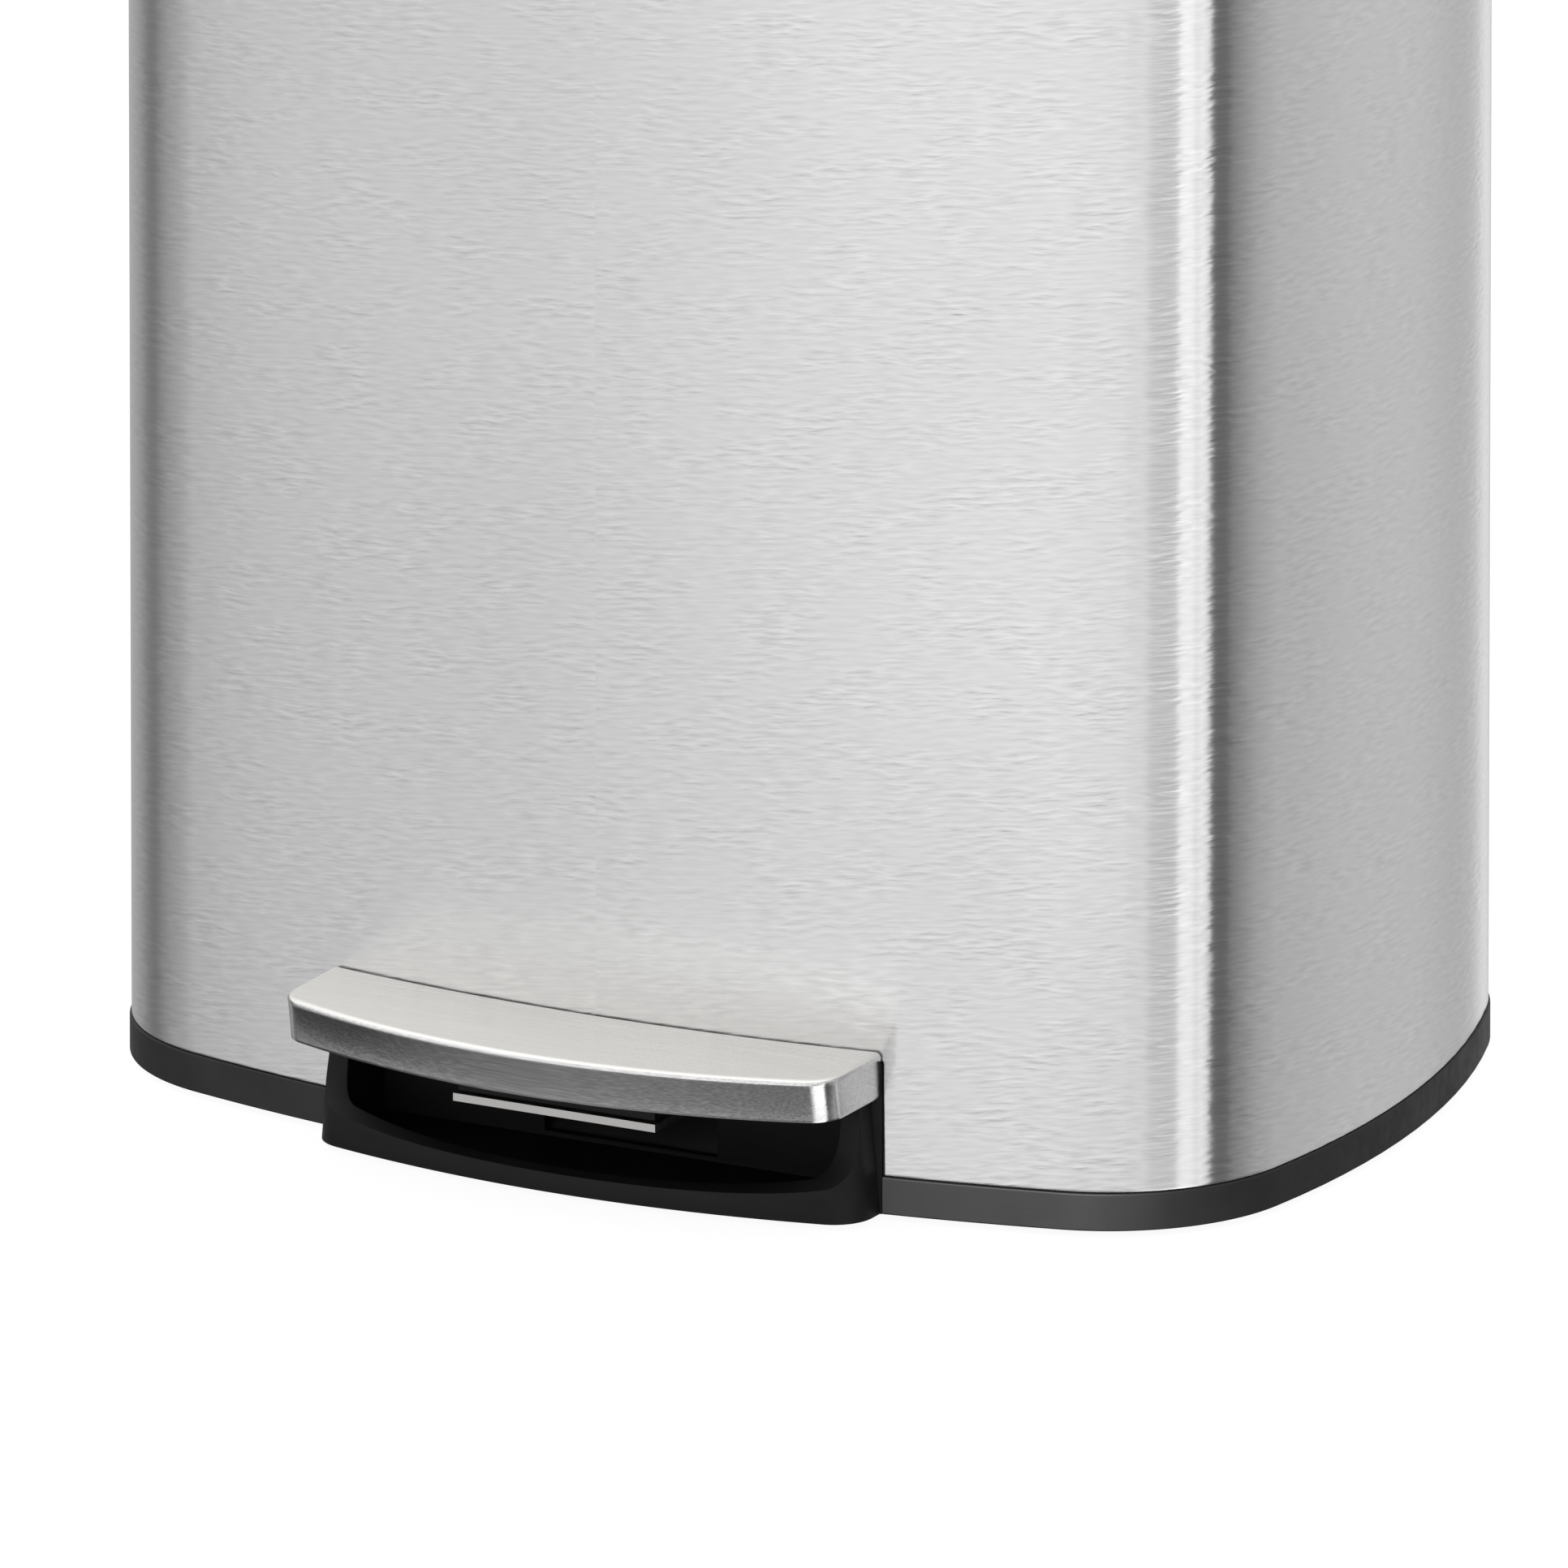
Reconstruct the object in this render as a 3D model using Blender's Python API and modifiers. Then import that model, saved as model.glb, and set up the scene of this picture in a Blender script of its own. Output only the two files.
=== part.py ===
"""Pedal trash can: a bow-fronted steel body on a black base, with a wide pedal that lifts the lid.

Pressing the pedal tilts a lever under the floor. Its rear end pushes a rod up the back of the can,
and the rod's tip lifts a bracket on the lid, which turns about a pin behind it.
Metres, +Z up, -Y the front. The can is drawn about the middle of its own plan outline, and the
plan empty then moves it back, so that the world origin is under the middle of its whole box.
"""

from math import acos, asin, cos, pi, radians, sin, sqrt

import bmesh
import bpy
from mathutils import Matrix, Vector

# Plan outline: four arcs from the middle of the front to the flat back, each ending at the angle
# that its outward normal makes with the front.
FRONT_RADIUS = 0.592
FRONT_SWEEP = radians(14.73)
FRONT_CORNER_RADIUS = 0.063
FRONT_CORNER_SWEEP = radians(82.7)
SIDE_RADIUS = 0.368
SIDE_SWEEP = radians(110.9)
REAR_CORNER_RADIUS = 0.075
ARC_STEPS = (5, 6, 4, 6)

# Heights above the floor
FOOT_HEIGHT = 0.002
RING_TOP = 0.014
UPSTAND_TOP = 0.026
FALSE_FLOOR_TOP = 0.0625
SHELL_TOP = 0.598
COLLAR_TOP = 0.606
LID_BOTTOM = 0.608
LID_SIDE_TOP = 0.630
LID_TOP = 0.650

# Walls and clearances
GAP = 0.0003
SHELL_INSET = 0.0006
SHELL_WALL = 0.0008
PLASTIC_WALL = 0.002
TRAY_FLOOR_LOW = 0.0026
TRAY_FLOOR_TOP = 0.005
SKIRT_INSET = SHELL_INSET + SHELL_WALL + GAP

# Pedal and the recess under it
PEDAL_HALF_WIDTH = 0.095
PEDAL_FRONT = -0.195
PEDAL_FRONT_RADIUS = 0.247
PEDAL_CORNER = 0.012
PEDAL_TOP = 0.0536
PEDAL_LOW = 0.0395
PEDAL_WALL = 0.0012
PEDAL_EDGE = 0.0025
PEDAL_REAR_INSET = -0.0004
HOUSING_HALF_WIDTH = 0.095
HOUSING_FRONT = -0.170
HOUSING_FRONT_RADIUS = 0.35
HOUSING_CORNER = 0.013
HOUSING_TOP = 0.050
HOUSING_WALL_TOP = 0.038
HOUSING_DRAFT = 0.003
HOUSING_BACK = -0.1235
RECESS_HALF_WIDTH = 0.0855
SILL_TOP = 0.008
SLOT_HALF_WIDTH = 0.030

# Lever under the floor, on its axle
PIVOT_Y = -0.060
PIVOT_Z = 0.020
LEVER_FRONT = -0.1755
LEVER_REAR = 0.122
LEVER_TOP_FRONT = 0.031
LEVER_TOP_REAR = 0.0165
LEVER_BEND = -0.110
LEVER_PAD_HALF_WIDTH = 0.035
LEVER_HALF_WIDTH = 0.024
LEVER_DEPTH = 0.009
LEVER_SHEET = 0.0025
AXLE_RADIUS = 0.003
AXLE_BLOCK = 0.010

# Lift rod up the back, with its spring and damper
ROD_Y = 0.1125
ROD_RADIUS = 0.003
ROD_TOP = 0.6095
ROD_LOW = 0.0200
ROD_FOOT_LOW = 0.0172
GUIDE_LOW = 0.144
GUIDE_HEIGHT = 0.012
UPPER_GUIDE_LOW = 0.560
COLLAR_LOW = 0.060
SPRING_TURNS = 9
SPRING_POINTS = 8
SPRING_RADIUS = 0.0052
SPRING_WIRE = 0.0007
DAMPER_Y = 0.1345
DAMPER_LOW = 0.340
DAMPER_HIGH = 0.440
DAMPER_RADIUS = 0.006
PISTON_RADIUS = 0.002
ARM_LOW = 0.296

# Lid hinge
HINGE_Y = 0.128
HINGE_Z = 0.626
HINGE_PIN_RADIUS = 0.003
HINGE_BARREL_RADIUS = 0.0175
LID_BACK = 0.109
COVER_SLOT_HALF_WIDTH = 0.031
LUG_HALF_WIDTH = 0.028
PUSH_ANGLE = radians(-40.0)
PUSH_OFFSET = 0.0015
PUSH_REACH = 0.0225

# Bucket
BUCKET_INSET = 0.012
BUCKET_BACK = 0.098
BUCKET_LOW = 0.066
BUCKET_WALL = 0.002
LEDGE_TOP = 0.6014

# Turns a profile drawn from the side, as (Y, Z), upright and across the can
PROFILE_ACROSS = (pi / 2, 0, pi / 2)

ROUND_STEPS = 20
SMALL_STEPS = 12


def arc(centre, radius, start, end, steps):
    """Points on a circle, by the angle that the outward normal makes with -Y, towards +X."""
    span = [start + (end - start) * i / steps for i in range(steps + 1)]
    return [(centre[0] + radius * sin(t), centre[1] - radius * cos(t)) for t in span]


def outline_arcs():
    """(centre, radius, start, end) of the right half's arcs, with the front's middle at Y = 0."""
    sweeps = (0, FRONT_SWEEP, FRONT_CORNER_SWEEP, SIDE_SWEEP, pi)
    radii = (FRONT_RADIUS, FRONT_CORNER_RADIUS, SIDE_RADIUS, REAR_CORNER_RADIUS)
    centre = Vector((0, FRONT_RADIUS))
    arcs = []
    for i, radius in enumerate(radii):
        if i:
            centre = centre + (radii[i - 1] - radius) * Vector((sin(sweeps[i]), -cos(sweeps[i])))
        arcs.append((centre, radius, sweeps[i], sweeps[i + 1]))
    return arcs


BODY_DEPTH = outline_arcs()[-1][0].y + REAR_CORNER_RADIUS
BODY_BACK = BODY_DEPTH / 2
FRONT_CENTRE_Y = FRONT_RADIUS - BODY_DEPTH / 2
PLAN_SHIFT = -(PEDAL_FRONT + BODY_BACK) / 2
MIDDLE_Y = -0.025


def plan_outline(inset, back=None):
    """The can's outline moved inwards by inset, cut off straight at Y = back if that is given."""
    half = []
    for steps, (centre, radius, start, end) in zip(ARC_STEPS, outline_arcs()):
        middle = (centre.x, centre.y - BODY_DEPTH / 2)
        if back is not None and end == pi:
            end = acos((middle[1] - back) / (radius - inset))
        half += arc(middle, radius - inset, start, end, steps)[1:]
    front = (0, inset - BODY_DEPTH / 2)
    return [front] + half + [(-x, y) for x, y in reversed(half)]


def scaled(outline, factor):
    """An outline made smaller about the middle of the lid and the bucket."""
    return [(x * factor, MIDDLE_Y + (y - MIDDLE_Y) * factor) for x, y in outline]


def front_arc_y(x, inset):
    """Y of the can's front face, moved inwards by inset, at a distance x from the middle."""
    return FRONT_CENTRE_Y - sqrt((FRONT_RADIUS - inset) ** 2 - x**2)


def bow_front(half_width, front, radius, corner, back):
    """An outline with a bowed front and round front corners, closed by the points of back."""
    centre = (0, front + radius)
    side = half_width - corner
    sweep = asin(side / (radius - corner))
    corner_y = centre[1] - (radius - corner) * cos(sweep)
    bow = arc(centre, radius, 0, sweep, 6)[:-1]
    half = bow + arc((side, corner_y), corner, sweep, pi / 2, 5)
    return [(-x, y) for x, y in reversed(half[1:])] + half + back


def rear_along_body(half_width, inset):
    """Points from right to left along the can's front face, to close a bow_front outline."""
    steps = 8
    across = [half_width * (1 - 2 * i / steps) for i in range(steps + 1)]
    return [(x, front_arc_y(x, inset)) for x in across]


def rectangle(x_low, x_high, y_low, y_high):
    return [(x_low, y_low), (x_high, y_low), (x_high, y_high), (x_low, y_high)]


def circle(centre, radius, steps=SMALL_STEPS):
    return arc(centre, radius, 0, 2 * pi, steps)[:-1]


# ---------------------------------------------------------------- scene and placing


def clear_scene():
    for obj in list(bpy.data.objects):
        bpy.data.objects.remove(obj, do_unlink=True)


def collection(name):
    made = bpy.data.collections.new(name)
    bpy.context.scene.collection.children.link(made)
    return made


def empty(name, location, parent=None):
    made = bpy.data.objects.new(name, None)
    made.location = location
    made.parent = parent
    made.empty_display_size = 0.03
    PARTS.objects.link(made)
    return made


def material(name, colour, roughness, metallic=0.0):
    made = bpy.data.materials.new(name)
    made.use_nodes = True
    shader = made.node_tree.nodes["Principled BSDF"]
    shader.inputs["Base Color"].default_value = (*colour, 1.0)
    shader.inputs["Roughness"].default_value = roughness
    shader.inputs["Metallic"].default_value = metallic
    return made


def place(obj, at, turn, frame):
    """Puts an object at a place given in the plan frame, as a child of that frame or of a joint."""
    obj.parent = frame
    obj.location = Vector(at) if frame == PLAN else Vector(at) - frame.location
    obj.rotation_euler = turn


def piece(obj, finish, at=(0, 0, 0), turn=(0, 0, 0), frame=None):
    """Makes an object a piece of the can, with its material and its smooth round faces."""
    place(obj, at, turn, frame or PLAN)
    obj.data.materials.clear()
    obj.data.materials.append(finish)
    if obj.type == "MESH":
        obj.data.shade_smooth()
        obj.data.set_sharp_from_angle(angle=radians(35))
    PARTS.objects.link(obj)
    return obj


def tool(obj, at=(0, 0, 0), turn=(0, 0, 0)):
    """Makes an object a shape that others are cut or joined with."""
    place(obj, at, turn, PLAN)
    obj.hide_render = True
    obj.display_type = "WIRE"
    CUTTERS.objects.link(obj)
    return obj


def boolean(obj, other, operation="DIFFERENCE"):
    modifier = obj.modifiers.new(operation.lower(), "BOOLEAN")
    modifier.operation = operation
    modifier.solver = "EXACT"
    modifier.object = other


# ---------------------------------------------------------------- shapes


def mesh_object(name, bm):
    mesh = bpy.data.meshes.new(name)
    bm.to_mesh(mesh)
    bm.free()
    return bpy.data.objects.new(name, mesh)


def block(name, x_span, y_span, z_span):
    """A box whose origin is at its middle, and that middle's place."""
    size = [high - low for low, high in (x_span, y_span, z_span)]
    middle = [(low + high) / 2 for low, high in (x_span, y_span, z_span)]
    bm = bmesh.new()
    bmesh.ops.create_cube(bm, size=1, matrix=Matrix.Diagonal((*size, 1)))
    return mesh_object(name, bm), middle


def cylinder(name, radius, length, steps=ROUND_STEPS):
    bm = bmesh.new()
    bmesh.ops.create_cone(
        bm, cap_ends=True, segments=steps, radius1=radius, radius2=radius, depth=length
    )
    return mesh_object(name, bm)


def mesh_from_curve(drawn, name):
    """The closed mesh of a curve object, with its loose caps welded on. The curve is removed."""
    bpy.context.scene.collection.objects.link(drawn)
    graph = bpy.context.evaluated_depsgraph_get()
    mesh = bpy.data.meshes.new_from_object(drawn.evaluated_get(graph))
    bm = bmesh.new()
    bm.from_mesh(mesh)
    bmesh.ops.remove_doubles(bm, verts=bm.verts, dist=0.00001)
    bmesh.ops.recalc_face_normals(bm, faces=bm.faces)
    bm.to_mesh(mesh)
    bm.free()
    solid = bpy.data.objects.new(name, mesh)
    solid.matrix_world = drawn.matrix_world
    bpy.data.objects.remove(drawn, do_unlink=True)
    return solid


def flat_solid(name, outlines, thickness):
    """Outlines extruded evenly to both sides of Z = 0. The first is the edge, the rest are holes."""
    curve = bpy.data.curves.new(name, "CURVE")
    curve.dimensions = "2D"
    curve.fill_mode = "BOTH"
    curve.extrude = thickness / 2
    for outline in outlines:
        spline = curve.splines.new("POLY")
        spline.points.add(len(outline) - 1)
        for point, (x, y) in zip(spline.points, outline):
            point.co = (x, y, 0, 1)
        spline.use_cyclic_u = True
    return mesh_from_curve(bpy.data.objects.new(name + "_curve", curve), name)


def slab(name, outlines, low, high):
    """A flat solid between two heights, with its place."""
    return flat_solid(name, outlines, high - low), (0, 0, (low + high) / 2)


def turned(name, profile, steps=ROUND_STEPS, closed=False):
    """A profile of (radius, height) points turned about Z. It runs down its outer side."""
    bm = bmesh.new()
    points = [bm.verts.new((radius, 0, height)) for radius, height in profile]
    for first, second in zip(points, points[1:]):
        bm.edges.new((first, second))
    if closed:
        bm.edges.new((points[-1], points[0]))
    made = mesh_object(name, bm)
    screw = made.modifiers.new("turn", "SCREW")
    screw.axis = "Z"
    screw.angle = 2 * pi
    screw.steps = steps
    screw.render_steps = steps
    screw.use_merge_vertices = True
    screw.merge_threshold = 0.00001
    return made


def loft(name, rings, closed=True, low_cap=False, top_cap=False, top_back=()):
    """An open surface through rings of as many points each, from the lowest to the highest.

    Open rings join only side by side. top_back closes the top of open ones behind.
    """
    bm = bmesh.new()
    rows = [[bm.verts.new(point) for point in ring] for ring in rings]
    spans = len(rings[0]) if closed else len(rings[0]) - 1
    for lower, upper in zip(rows, rows[1:]):
        for i in range(spans):
            j = (i + 1) % len(lower)
            bm.faces.new((lower[i], lower[j], upper[j], upper[i]))
    if low_cap:
        bm.faces.new(reversed(rows[0]))
    if top_cap:
        bm.faces.new(rows[-1] + [bm.verts.new(point) for point in top_back])
    return mesh_object(name, bm)


def solidify(obj, thickness):
    """Gives an open surface a wall on its inner side."""
    modifier = obj.modifiers.new("wall", "SOLIDIFY")
    modifier.thickness = thickness
    modifier.offset = -1
    modifier.use_even_offset = True


def ring_solid(name, outer_radius, inner_radius, thickness):
    """A flat washer about Z, centred on its origin."""
    half = thickness / 2
    profile = [(inner_radius, half), (outer_radius, half), (outer_radius, -half), (inner_radius, -half)]
    return turned(name, profile, closed=True)


def screw_solid(name, head_radius=0.0032, head=0.0018, shank_radius=0.0016, length=0.007):
    """A pan-head screw: its head stands on Z = 0 and its shank hangs below."""
    profile = [
        (0, head),
        (head_radius * 0.7, head),
        (head_radius, head * 0.5),
        (head_radius, 0),
        (shank_radius, 0),
        (shank_radius, -length),
        (0, -length),
    ]
    return turned(name, profile, steps=SMALL_STEPS)


def screw_hole(name, at, depth=0.0075, radius=0.0020):
    """A cutter for a screw's shank, from just above the seat at `at` down to depth below it."""
    above = 0.0010
    length = depth + above
    x, y, z = at
    return tool(cylinder(name, radius, length, SMALL_STEPS), (x, y, z + above - length / 2))


# ---------------------------------------------------------------- base


def base_tray():
    """Black ring with a floor, and an upstand that the steel body fits over."""
    ring, at = slab("base_tray", [plan_outline(0), plan_outline(0.0040)], FOOT_HEIGHT, RING_TOP)
    tray = piece(ring, BLACK_PLASTIC, at)
    upstand = [plan_outline(SKIRT_INSET), plan_outline(SKIRT_INSET + PLASTIC_WALL)]
    boolean(tray, tool(*slab("tray_upstand", upstand, 0.008, UPSTAND_TOP)), "UNION")
    boolean(tray, tool(*slab("tray_floor", [plan_outline(0.003)], TRAY_FLOOR_LOW, TRAY_FLOOR_TOP)), "UNION")
    notch = block("tray_notch", (-0.0953, 0.0953), (-0.180, HOUSING_BACK + GAP), (-0.010, 0.040))
    boolean(tray, tool(*notch))
    for name, x, y in FEET:
        boolean(tray, tool(cylinder(name + "_hole", 0.0033, 0.02), (x, y, 0.005)))
    for name, x, y, z in BASE_SCREWS:
        boolean(tray, screw_hole(name + "_hole", (x, y, z), depth=0.012))


def feet():
    """Rubber feet, each a pad with a stem pushed up through the tray's floor."""
    stem_top = 0.0070
    profile = [
        (0, stem_top),
        (0.0020, stem_top),
        (0.0030, stem_top - 0.001),
        (0.0030, FOOT_HEIGHT),
        (0.0030, FOOT_HEIGHT - GAP),
        (0.0085, FOOT_HEIGHT - GAP),
        (0.0085, 0.0004),
        (0.0080, 0),
        (0, 0),
    ]
    for name, x, y in FEET:
        piece(turned(name, profile, steps=16), RUBBER, (x, y, 0))


def pedal_housing():
    """Black moulding in the front of the base: a sill and two swept side walls round a recess."""
    half = HOUSING_HALF_WIDTH
    box_face = rear_along_body(half, GAP)
    frame = box_face + [(-half, HOUSING_BACK), (half, HOUSING_BACK)]
    housing, at = slab("pedal_housing", [frame], FOOT_HEIGHT, HOUSING_TOP)
    housing = piece(housing, BLACK_PLASTIC, at)

    embedded = HOUSING_BACK - 0.010
    back_edge = [(half - 0.0005, embedded), (0.0005 - half, embedded)]
    bow = bow_front(half - 0.0005, HOUSING_FRONT, HOUSING_FRONT_RADIUS, HOUSING_CORNER, back_edge)
    scoop_body, at = slab("housing_scoop", [bow], FOOT_HEIGHT + 0.0001, HOUSING_WALL_TOP)
    top_of_body = (HOUSING_WALL_TOP - FOOT_HEIGHT) / 2 - 0.001
    for vertex in scoop_body.data.vertices:
        if vertex.co.z > top_of_body:
            vertex.co.x *= 1 - HOUSING_DRAFT / half
    boolean(housing, tool(scoop_body, at), "UNION")

    inner_bow = bow_front(
        RECESS_HALF_WIDTH, HOUSING_FRONT + 0.004, HOUSING_FRONT_RADIUS, HOUSING_CORNER - 0.004,
        [(RECESS_HALF_WIDTH, HOUSING_BACK - 0.003), (-RECESS_HALF_WIDTH, HOUSING_BACK - 0.003)],
    )
    boolean(housing, tool(*slab("housing_recess", [inner_bow], TRAY_FLOOR_TOP, HOUSING_TOP - 0.003)))

    # The side walls' front edge: a scoop from the sill up to the can's face, drawn from the side.
    scoop_radius = 0.024
    scoop_centre = (HOUSING_FRONT - 0.004, SILL_TOP + scoop_radius)
    quarter = arc(scoop_centre, scoop_radius, 0, radians(80), 8)
    far = [(-0.1465, 0.060), (-0.190, 0.060), (-0.190, SILL_TOP)]
    sweep = flat_solid("housing_sweep", [quarter + far], 0.25)
    boolean(housing, tool(sweep, (0, 0, 0), PROFILE_ACROSS))

    slot = block("housing_slot", (-SLOT_HALF_WIDTH, SLOT_HALF_WIDTH), (-0.130, -0.115), (0.0065, 0.034))
    boolean(housing, tool(*slot))
    for side in (-1, 1):
        tab = block(f"housing_tab_{side}", sorted((side * 0.060, side * 0.080)),
                    (HOUSING_BACK - 0.001, -0.106), (TRAY_FLOOR_TOP + GAP, 0.0083))
        boolean(housing, tool(*tab), "UNION")
    for name, x, y, z in BASE_SCREWS[:2]:
        boolean(housing, screw_hole(name + "_tab_hole", (x, y, z)))


def base_screws():
    for name, x, y, z in BASE_SCREWS:
        piece(screw_solid(name, length=0.0055), ZINC, (x, y, z + GAP))


def axle_blocks():
    """Plastic blocks on the tray's floor, one on each side of the lever, that carry its axle."""
    low = TRAY_FLOOR_TOP + GAP
    height = PIVOT_Z - low
    reach = 0.018
    foot_top = 0.004
    cheek = arc((0, height), 0.008, radians(75), radians(285), 10)
    outline = [(-reach, 0), (reach, 0), (reach, foot_top), (0.010, foot_top)] + cheek
    outline += [(-0.010, foot_top), (-reach, foot_top)]
    for name, side in (("axle_block_left", -1), ("axle_block_right", 1)):
        bored = [outline, circle((0, height), AXLE_RADIUS + GAP)]
        made = flat_solid(name, bored, AXLE_BLOCK)
        at = (side * BLOCK_X, PIVOT_Y, low)
        carrier = piece(made, GREY_PLASTIC, at, PROFILE_ACROSS)
        screw = BASE_SCREWS[2] if side < 0 else BASE_SCREWS[3]
        boolean(carrier, screw_hole(name + "_hole", screw[1:]))


def pedal_axle():
    half_length = BLOCK_X + AXLE_BLOCK / 2 + 0.003
    axle = cylinder("pedal_axle", AXLE_RADIUS, 2 * half_length)
    piece(axle, ZINC, (0, PIVOT_Y, PIVOT_Z), (0, pi / 2, 0))
    for name, side in (("axle_clip_left", -1), ("axle_clip_right", 1)):
        clip = ring_solid(name, 0.0055, AXLE_RADIUS + GAP, 0.0010)
        piece(clip, ZINC, (side * (half_length - 0.0018), PIVOT_Y, PIVOT_Z), (0, pi / 2, 0))


def false_floor():
    """Plastic deck over the lever, standing on the tray's upstand by its skirt."""
    low = UPSTAND_TOP + GAP
    skirt = [plan_outline(SKIRT_INSET), plan_outline(SKIRT_INSET + PLASTIC_WALL)]
    deck_low = FALSE_FLOOR_TOP - 0.0025
    made, at = slab("false_floor", skirt, low, FALSE_FLOOR_TOP - 0.0005)
    deck = piece(made, GREY_PLASTIC, at)
    plate = slab("deck_plate", [plan_outline(SKIRT_INSET + 0.001)], deck_low, FALSE_FLOOR_TOP)
    boolean(deck, tool(*plate), "UNION")
    boolean(deck, tool(*block("deck_notch", (-0.0975, 0.0975), (-0.180, -0.110), (0.010, 0.054))))
    boolean(deck, tool(*block("deck_rod_notch", (-0.030, 0.030), (0.100, 0.1445), (0.050, 0.070))))


# ---------------------------------------------------------------- body


def body_shell():
    """Steel sheet bent to the plan outline, with a cut-out at the bottom for the pedal housing."""
    low = RING_TOP + GAP
    outline = plan_outline(SHELL_INSET)
    rings = [[(x, y, z) for x, y in outline] for z in (0, SHELL_TOP - low)]
    shell = piece(loft("body_shell", rings), BRUSHED_STEEL, (0, 0, low))
    solidify(shell, SHELL_WALL)
    half = HOUSING_HALF_WIDTH + GAP
    boolean(shell, tool(*block("shell_cutout", (-half, half), (-0.180, -0.120), (-0.010, HOUSING_TOP + GAP))))


def top_collar():
    """Black rim on the body, with a ledge for the bucket and a deck behind it for the hinge."""
    band = [plan_outline(0), plan_outline(0.006)]
    made, at = slab("top_collar", band, SHELL_TOP + GAP, COLLAR_TOP)
    collar = piece(made, BLACK_PLASTIC, at)
    skirt = [plan_outline(SKIRT_INSET), plan_outline(SKIRT_INSET + PLASTIC_WALL)]
    boolean(collar, tool(*slab("collar_skirt", skirt, SHELL_TOP - 0.014, SHELL_TOP + 0.004)), "UNION")
    mouth = plan_outline(BUCKET_INSET - 0.001, BUCKET_BACK + 0.001)
    ledge = slab("collar_ledge", [plan_outline(0.005), mouth], LEDGE_TOP - 0.0025, LEDGE_TOP)
    boolean(collar, tool(*ledge), "UNION")
    boolean(collar, tool(cylinder("collar_rod_hole", ROD_RADIUS + 0.002, 0.02), (0, ROD_Y, LEDGE_TOP)))
    for name, x, y, z in HINGE_SCREWS:
        boolean(collar, screw_hole(name + "_deck_hole", (x, y, z)))


def inner_bucket():
    """Tapered plastic bucket that hangs in the collar by its rim."""
    rim_low = LEDGE_TOP + GAP
    mouth = plan_outline(BUCKET_INSET + 0.0006, BUCKET_BACK - 0.0006)
    rim = plan_outline(0.0065, 0.1035)
    levels = [
        (scaled(mouth, 0.875), BUCKET_LOW),
        (scaled(mouth, 0.91), BUCKET_LOW + 0.003),
        (scaled(mouth, 0.93), BUCKET_LOW + 0.012),
        (mouth, rim_low),
        (rim, rim_low),
    ]
    rings = [[(x, y, z) for x, y in outline] for outline, z in levels]
    bucket = piece(loft("inner_bucket", rings, low_cap=True), BUCKET_PLASTIC)
    solidify(bucket, BUCKET_WALL)


def rod_guides():
    """Two blocks on the rear wall that the lift rod slides through."""
    rear = BODY_BACK - SHELL_INSET - SHELL_WALL - GAP
    outline = rectangle(-0.015, 0.015, ROD_Y - 0.007, rear)
    for name, low in (("rod_guide_lower", GUIDE_LOW), ("rod_guide_upper", UPPER_GUIDE_LOW)):
        bore = circle((0, ROD_Y), ROD_RADIUS + GAP, 16)
        made, at = slab(name, [outline, bore], low, low + GUIDE_HEIGHT)
        piece(made, GREY_PLASTIC, at)


def damper():
    """Cylinder of the lid damper and the clip that holds it to the rear wall."""
    length = DAMPER_HIGH - DAMPER_LOW
    bore = PISTON_RADIUS + GAP
    profile = [
        (0, length),
        (DAMPER_RADIUS, length),
        (DAMPER_RADIUS, 0),
        (bore, 0),
        (bore, length - 0.004),
        (0, length - 0.004),
    ]
    piece(turned("damper_cylinder", profile), ZINC, (0, DAMPER_Y, DAMPER_LOW))
    rear = BODY_BACK - SHELL_INSET - SHELL_WALL - GAP
    outline = rectangle(-0.011, 0.011, DAMPER_Y - 0.010, rear)
    seat = circle((0, DAMPER_Y), DAMPER_RADIUS + GAP, ROUND_STEPS)
    made, at = slab("damper_clip", [outline, seat], 0.400, 0.418)
    piece(made, GREY_PLASTIC, at)


# ---------------------------------------------------------------- pedal, turning on its axle


def pedal_row(inset, height):
    """The tread's edge from the left rear end round the front to the right, moved inwards."""
    half = PEDAL_HALF_WIDTH - inset
    radius = PEDAL_FRONT_RADIUS - inset
    bow = bow_front(half, PEDAL_FRONT + inset, radius, PEDAL_CORNER - inset, [])
    end_y = front_arc_y(half, PEDAL_REAR_INSET)
    return [(x, y, height) for x, y in [(-half, end_y)] + bow + [(half, end_y)]]


def pedal_cap():
    """Pressed steel tread with a rounded top edge, open below and behind."""
    rows = [pedal_row(0, PEDAL_LOW)]
    steps = 4
    for i in range(steps + 1):
        turn = pi / 2 * i / steps
        height = PEDAL_TOP - PEDAL_EDGE * (1 - sin(turn))
        rows.append(pedal_row(PEDAL_EDGE * (1 - cos(turn)), height))
    behind = rear_along_body(PEDAL_HALF_WIDTH - PEDAL_EDGE, PEDAL_REAR_INSET)[1:-1]
    back = [(x, y, PEDAL_TOP) for x, y in behind]
    tread = loft("pedal_cap", rows, closed=False, top_cap=True, top_back=back)
    tread.data.transform(Matrix.Translation(-PEDAL.location))
    cap = piece(tread, BRUSHED_STEEL, PEDAL.location, frame=PEDAL)
    solidify(cap, PEDAL_WALL)


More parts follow.
